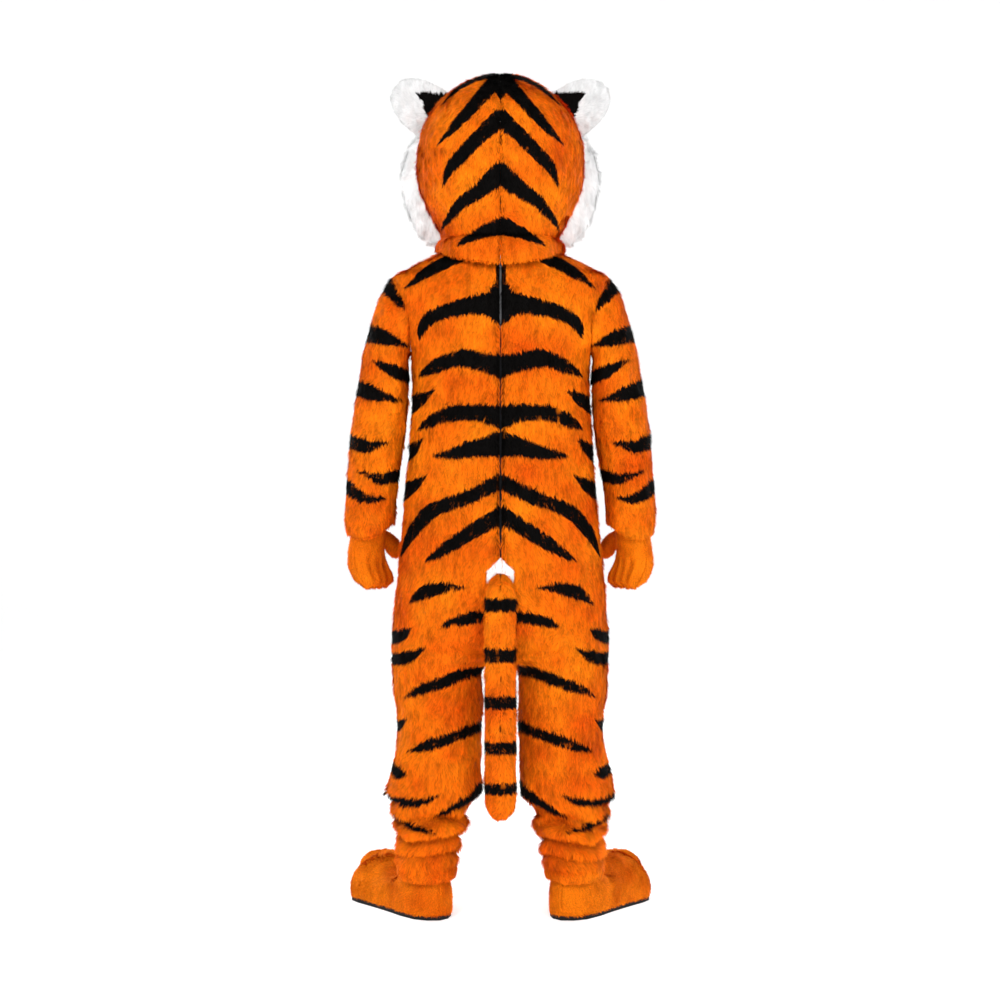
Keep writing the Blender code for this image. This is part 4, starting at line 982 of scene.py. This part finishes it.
def build_slider():
    """The slider's waisted body, its bridge and the hanging pull with its hole."""
    low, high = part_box("zip_slider")
    middle, half = (low + high) / 2, (high - low) / 2
    outline = [(-0.70, 1.0), (0.70, 1.0), (1.0, 0.7), (0.62, -0.9), (0.45, -1.0), (-0.45, -1.0),
               (-0.62, -0.9), (-1.0, 0.7)]
    rounds = np.linspace(0, 2 * math.pi, 12, endpoint=False)
    shape = bmesh.new()
    front, back = middle.y - half.y * 0.2, middle.y + half.y

    def plate(corners, near, far):
        rows = [[shape.verts.new((x, y, z)) for x, z in corners] for y in (near, far)]
        shape.faces.new(rows[0][::-1])
        shape.faces.new(rows[1])
        for i in range(len(corners)):
            j = (i + 1) % len(corners)
            shape.faces.new((rows[0][i], rows[0][j], rows[1][j], rows[1][i]))

    plate([(middle.x + a * half.x, middle.z + b * half.z) for a, b in outline], front, back)
    bridge = [(-0.22, 0.75), (0.22, 0.75), (0.22, -0.45), (-0.22, -0.45)]
    plate([(middle.x + a * half.x, middle.z + b * half.z) for a, b in bridge], back, back + 0.0014)
    top = middle.z + half.z * 0.1
    ring = []
    for turn in rounds:
        stretch = 1.0 if math.sin(turn) > 0 else 1.9
        ring.append(((0.0031 * math.cos(turn), 0.0036 + 0.0036 * math.sin(turn) * stretch),
                     (0.0017 * math.cos(turn), 0.0044 + 0.0019 * math.sin(turn) * stretch)))
    layers = []
    for y in (back + 0.0014, back + 0.0024):
        layers.append([[shape.verts.new((middle.x + x, y, top - 0.006 + z)) for x, z in pair]
                       for pair in ring])
    for i in range(len(ring)):
        j = (i + 1) % len(ring)
        near, far = layers
        shape.faces.new((near[i][0], near[i][1], near[j][1], near[j][0]))
        shape.faces.new((far[i][0], far[j][0], far[j][1], far[i][1]))
        shape.faces.new((near[i][0], near[j][0], far[j][0], far[i][0]))
        shape.faces.new((near[i][1], far[i][1], far[j][1], near[j][1]))
    bmesh.ops.recalc_face_normals(shape, faces=shape.faces)
    mesh = bpy.data.meshes.new("zip_slider_shaped")
    shape.to_mesh(mesh)
    shape.free()
    slider = in_scene("zip_slider_shaped", mesh)
    change = slider.modifiers.new("rounded", "BEVEL")
    change.width, change.segments = 0.0003, 2
    mesh.materials.append(METAL)
    declare(slider, "zip_slider")


def build_zip():
    """The zip keeps its tape and its core of teeth, with the coil and the slider on it."""
    refinish({"zip_tape": TAPE_AND_COIL_SHADE, "zip_teeth": TAPE_AND_COIL_SHADE})
    build_coil()
    build_slider()


def refinish(finishes):
    """Gives cut pieces that stay as they are their finish."""
    for node, finish in finishes.items():
        for slot in frame_object(node).material_slots:
            slot.material = finish


# ---------------------------------------------------------------- studio


CAMERA_AWAY = 5.0
CAMERA_HEIGHT = 0.986
VIEW_WIDTH = 2.235  # what the camera's frame takes in at the costume
SENSOR = 36
Lamp = namedtuple("Lamp", "name place energy size")
LAMPS = [
    Lamp("key", (1.4, 4.6, 2.2), 150.0, 1.6), Lamp("fill", (-1.8, 4.4, 0.6), 90.0, 2.2),
    Lamp("left_rim", (3.4, -2.4, 1.0), 105.0, 2.4), Lamp("right_rim", (-3.4, -2.4, 1.0), 105.0, 2.4),
]
LAMPS_AIM = Vector((0, 0, -0.5))
# The paper sweep: rows of how far back and how high, from the floor up the wall.
PAPER_ROWS = [(14.0, 0.0), (-5.6, 0.0), (-6.4, 0.06), (-7.1, 0.25), (-7.6, 0.6), (-7.9, 1.1), (-8.0, 9.0)]
PAPER_HALF = 12.0


def build_paper():
    ground = -HELD_HEIGHT - 0.0005
    corners = [(side, y, z + ground) for y, z in PAPER_ROWS for side in (-PAPER_HALF, PAPER_HALF)]
    faces = [(2 * i, 2 * i + 2, 2 * i + 3, 2 * i + 1) for i in range(len(PAPER_ROWS) - 1)]
    mesh = bpy.data.meshes.new("paper_sweep")
    mesh.from_pydata(corners, [], faces)
    mesh.shade_smooth()
    made = Finish("studio_paper")
    made.set(Base_Color=(0.9, 0.9, 0.9, 1), Roughness=0.95, Specular_IOR_Level=0.0,
             Emission_Color=(1, 1, 1, 1), Emission_Strength=0.32)
    mesh.materials.append(made.material)
    in_scene("paper_sweep", mesh)


def build_lights():
    world = bpy.data.worlds.new("studio")
    bpy.context.scene.world = world
    world.use_nodes = True
    background = world.node_tree.nodes["Background"]
    background.inputs[0].default_value = (1, 1, 1, 1)
    background.inputs[1].default_value = 0.5
    for row in LAMPS:
        lamp = bpy.data.lights.new(row.name, "AREA")
        lamp.energy, lamp.size = row.energy, row.size
        hung = in_scene(row.name, lamp)
        hung.location = row.place
        hung.rotation_euler = (LAMPS_AIM - Vector(row.place)).to_track_quat("-Z", "Y").to_euler()


def build_camera():
    """The camera behind the costume, level, with its frame shifted a little down."""
    camera = bpy.data.cameras.new("camera")
    camera.sensor_width = SENSOR
    camera.lens = SENSOR * CAMERA_AWAY / VIEW_WIDTH
    camera.shift_y = -0.0254
    camera.shift_x = -0.0005
    stand = in_scene("camera", camera)
    stand.location = (0, CAMERA_AWAY, CAMERA_HEIGHT - HELD_HEIGHT)
    stand.rotation_euler = (math.pi / 2, 0, math.pi)
    bpy.context.scene.camera = stand
    bpy.context.scene.view_settings.view_transform = "Standard"


build_suit()
build_head()
build_feet_and_gloves()
build_face()
build_tail()
build_zip()
refinish({"sole_left": RUBBER, "sole_right": RUBBER})
bpy.data.objects.remove(TUFT)
build_paper()
build_lights()
build_camera()
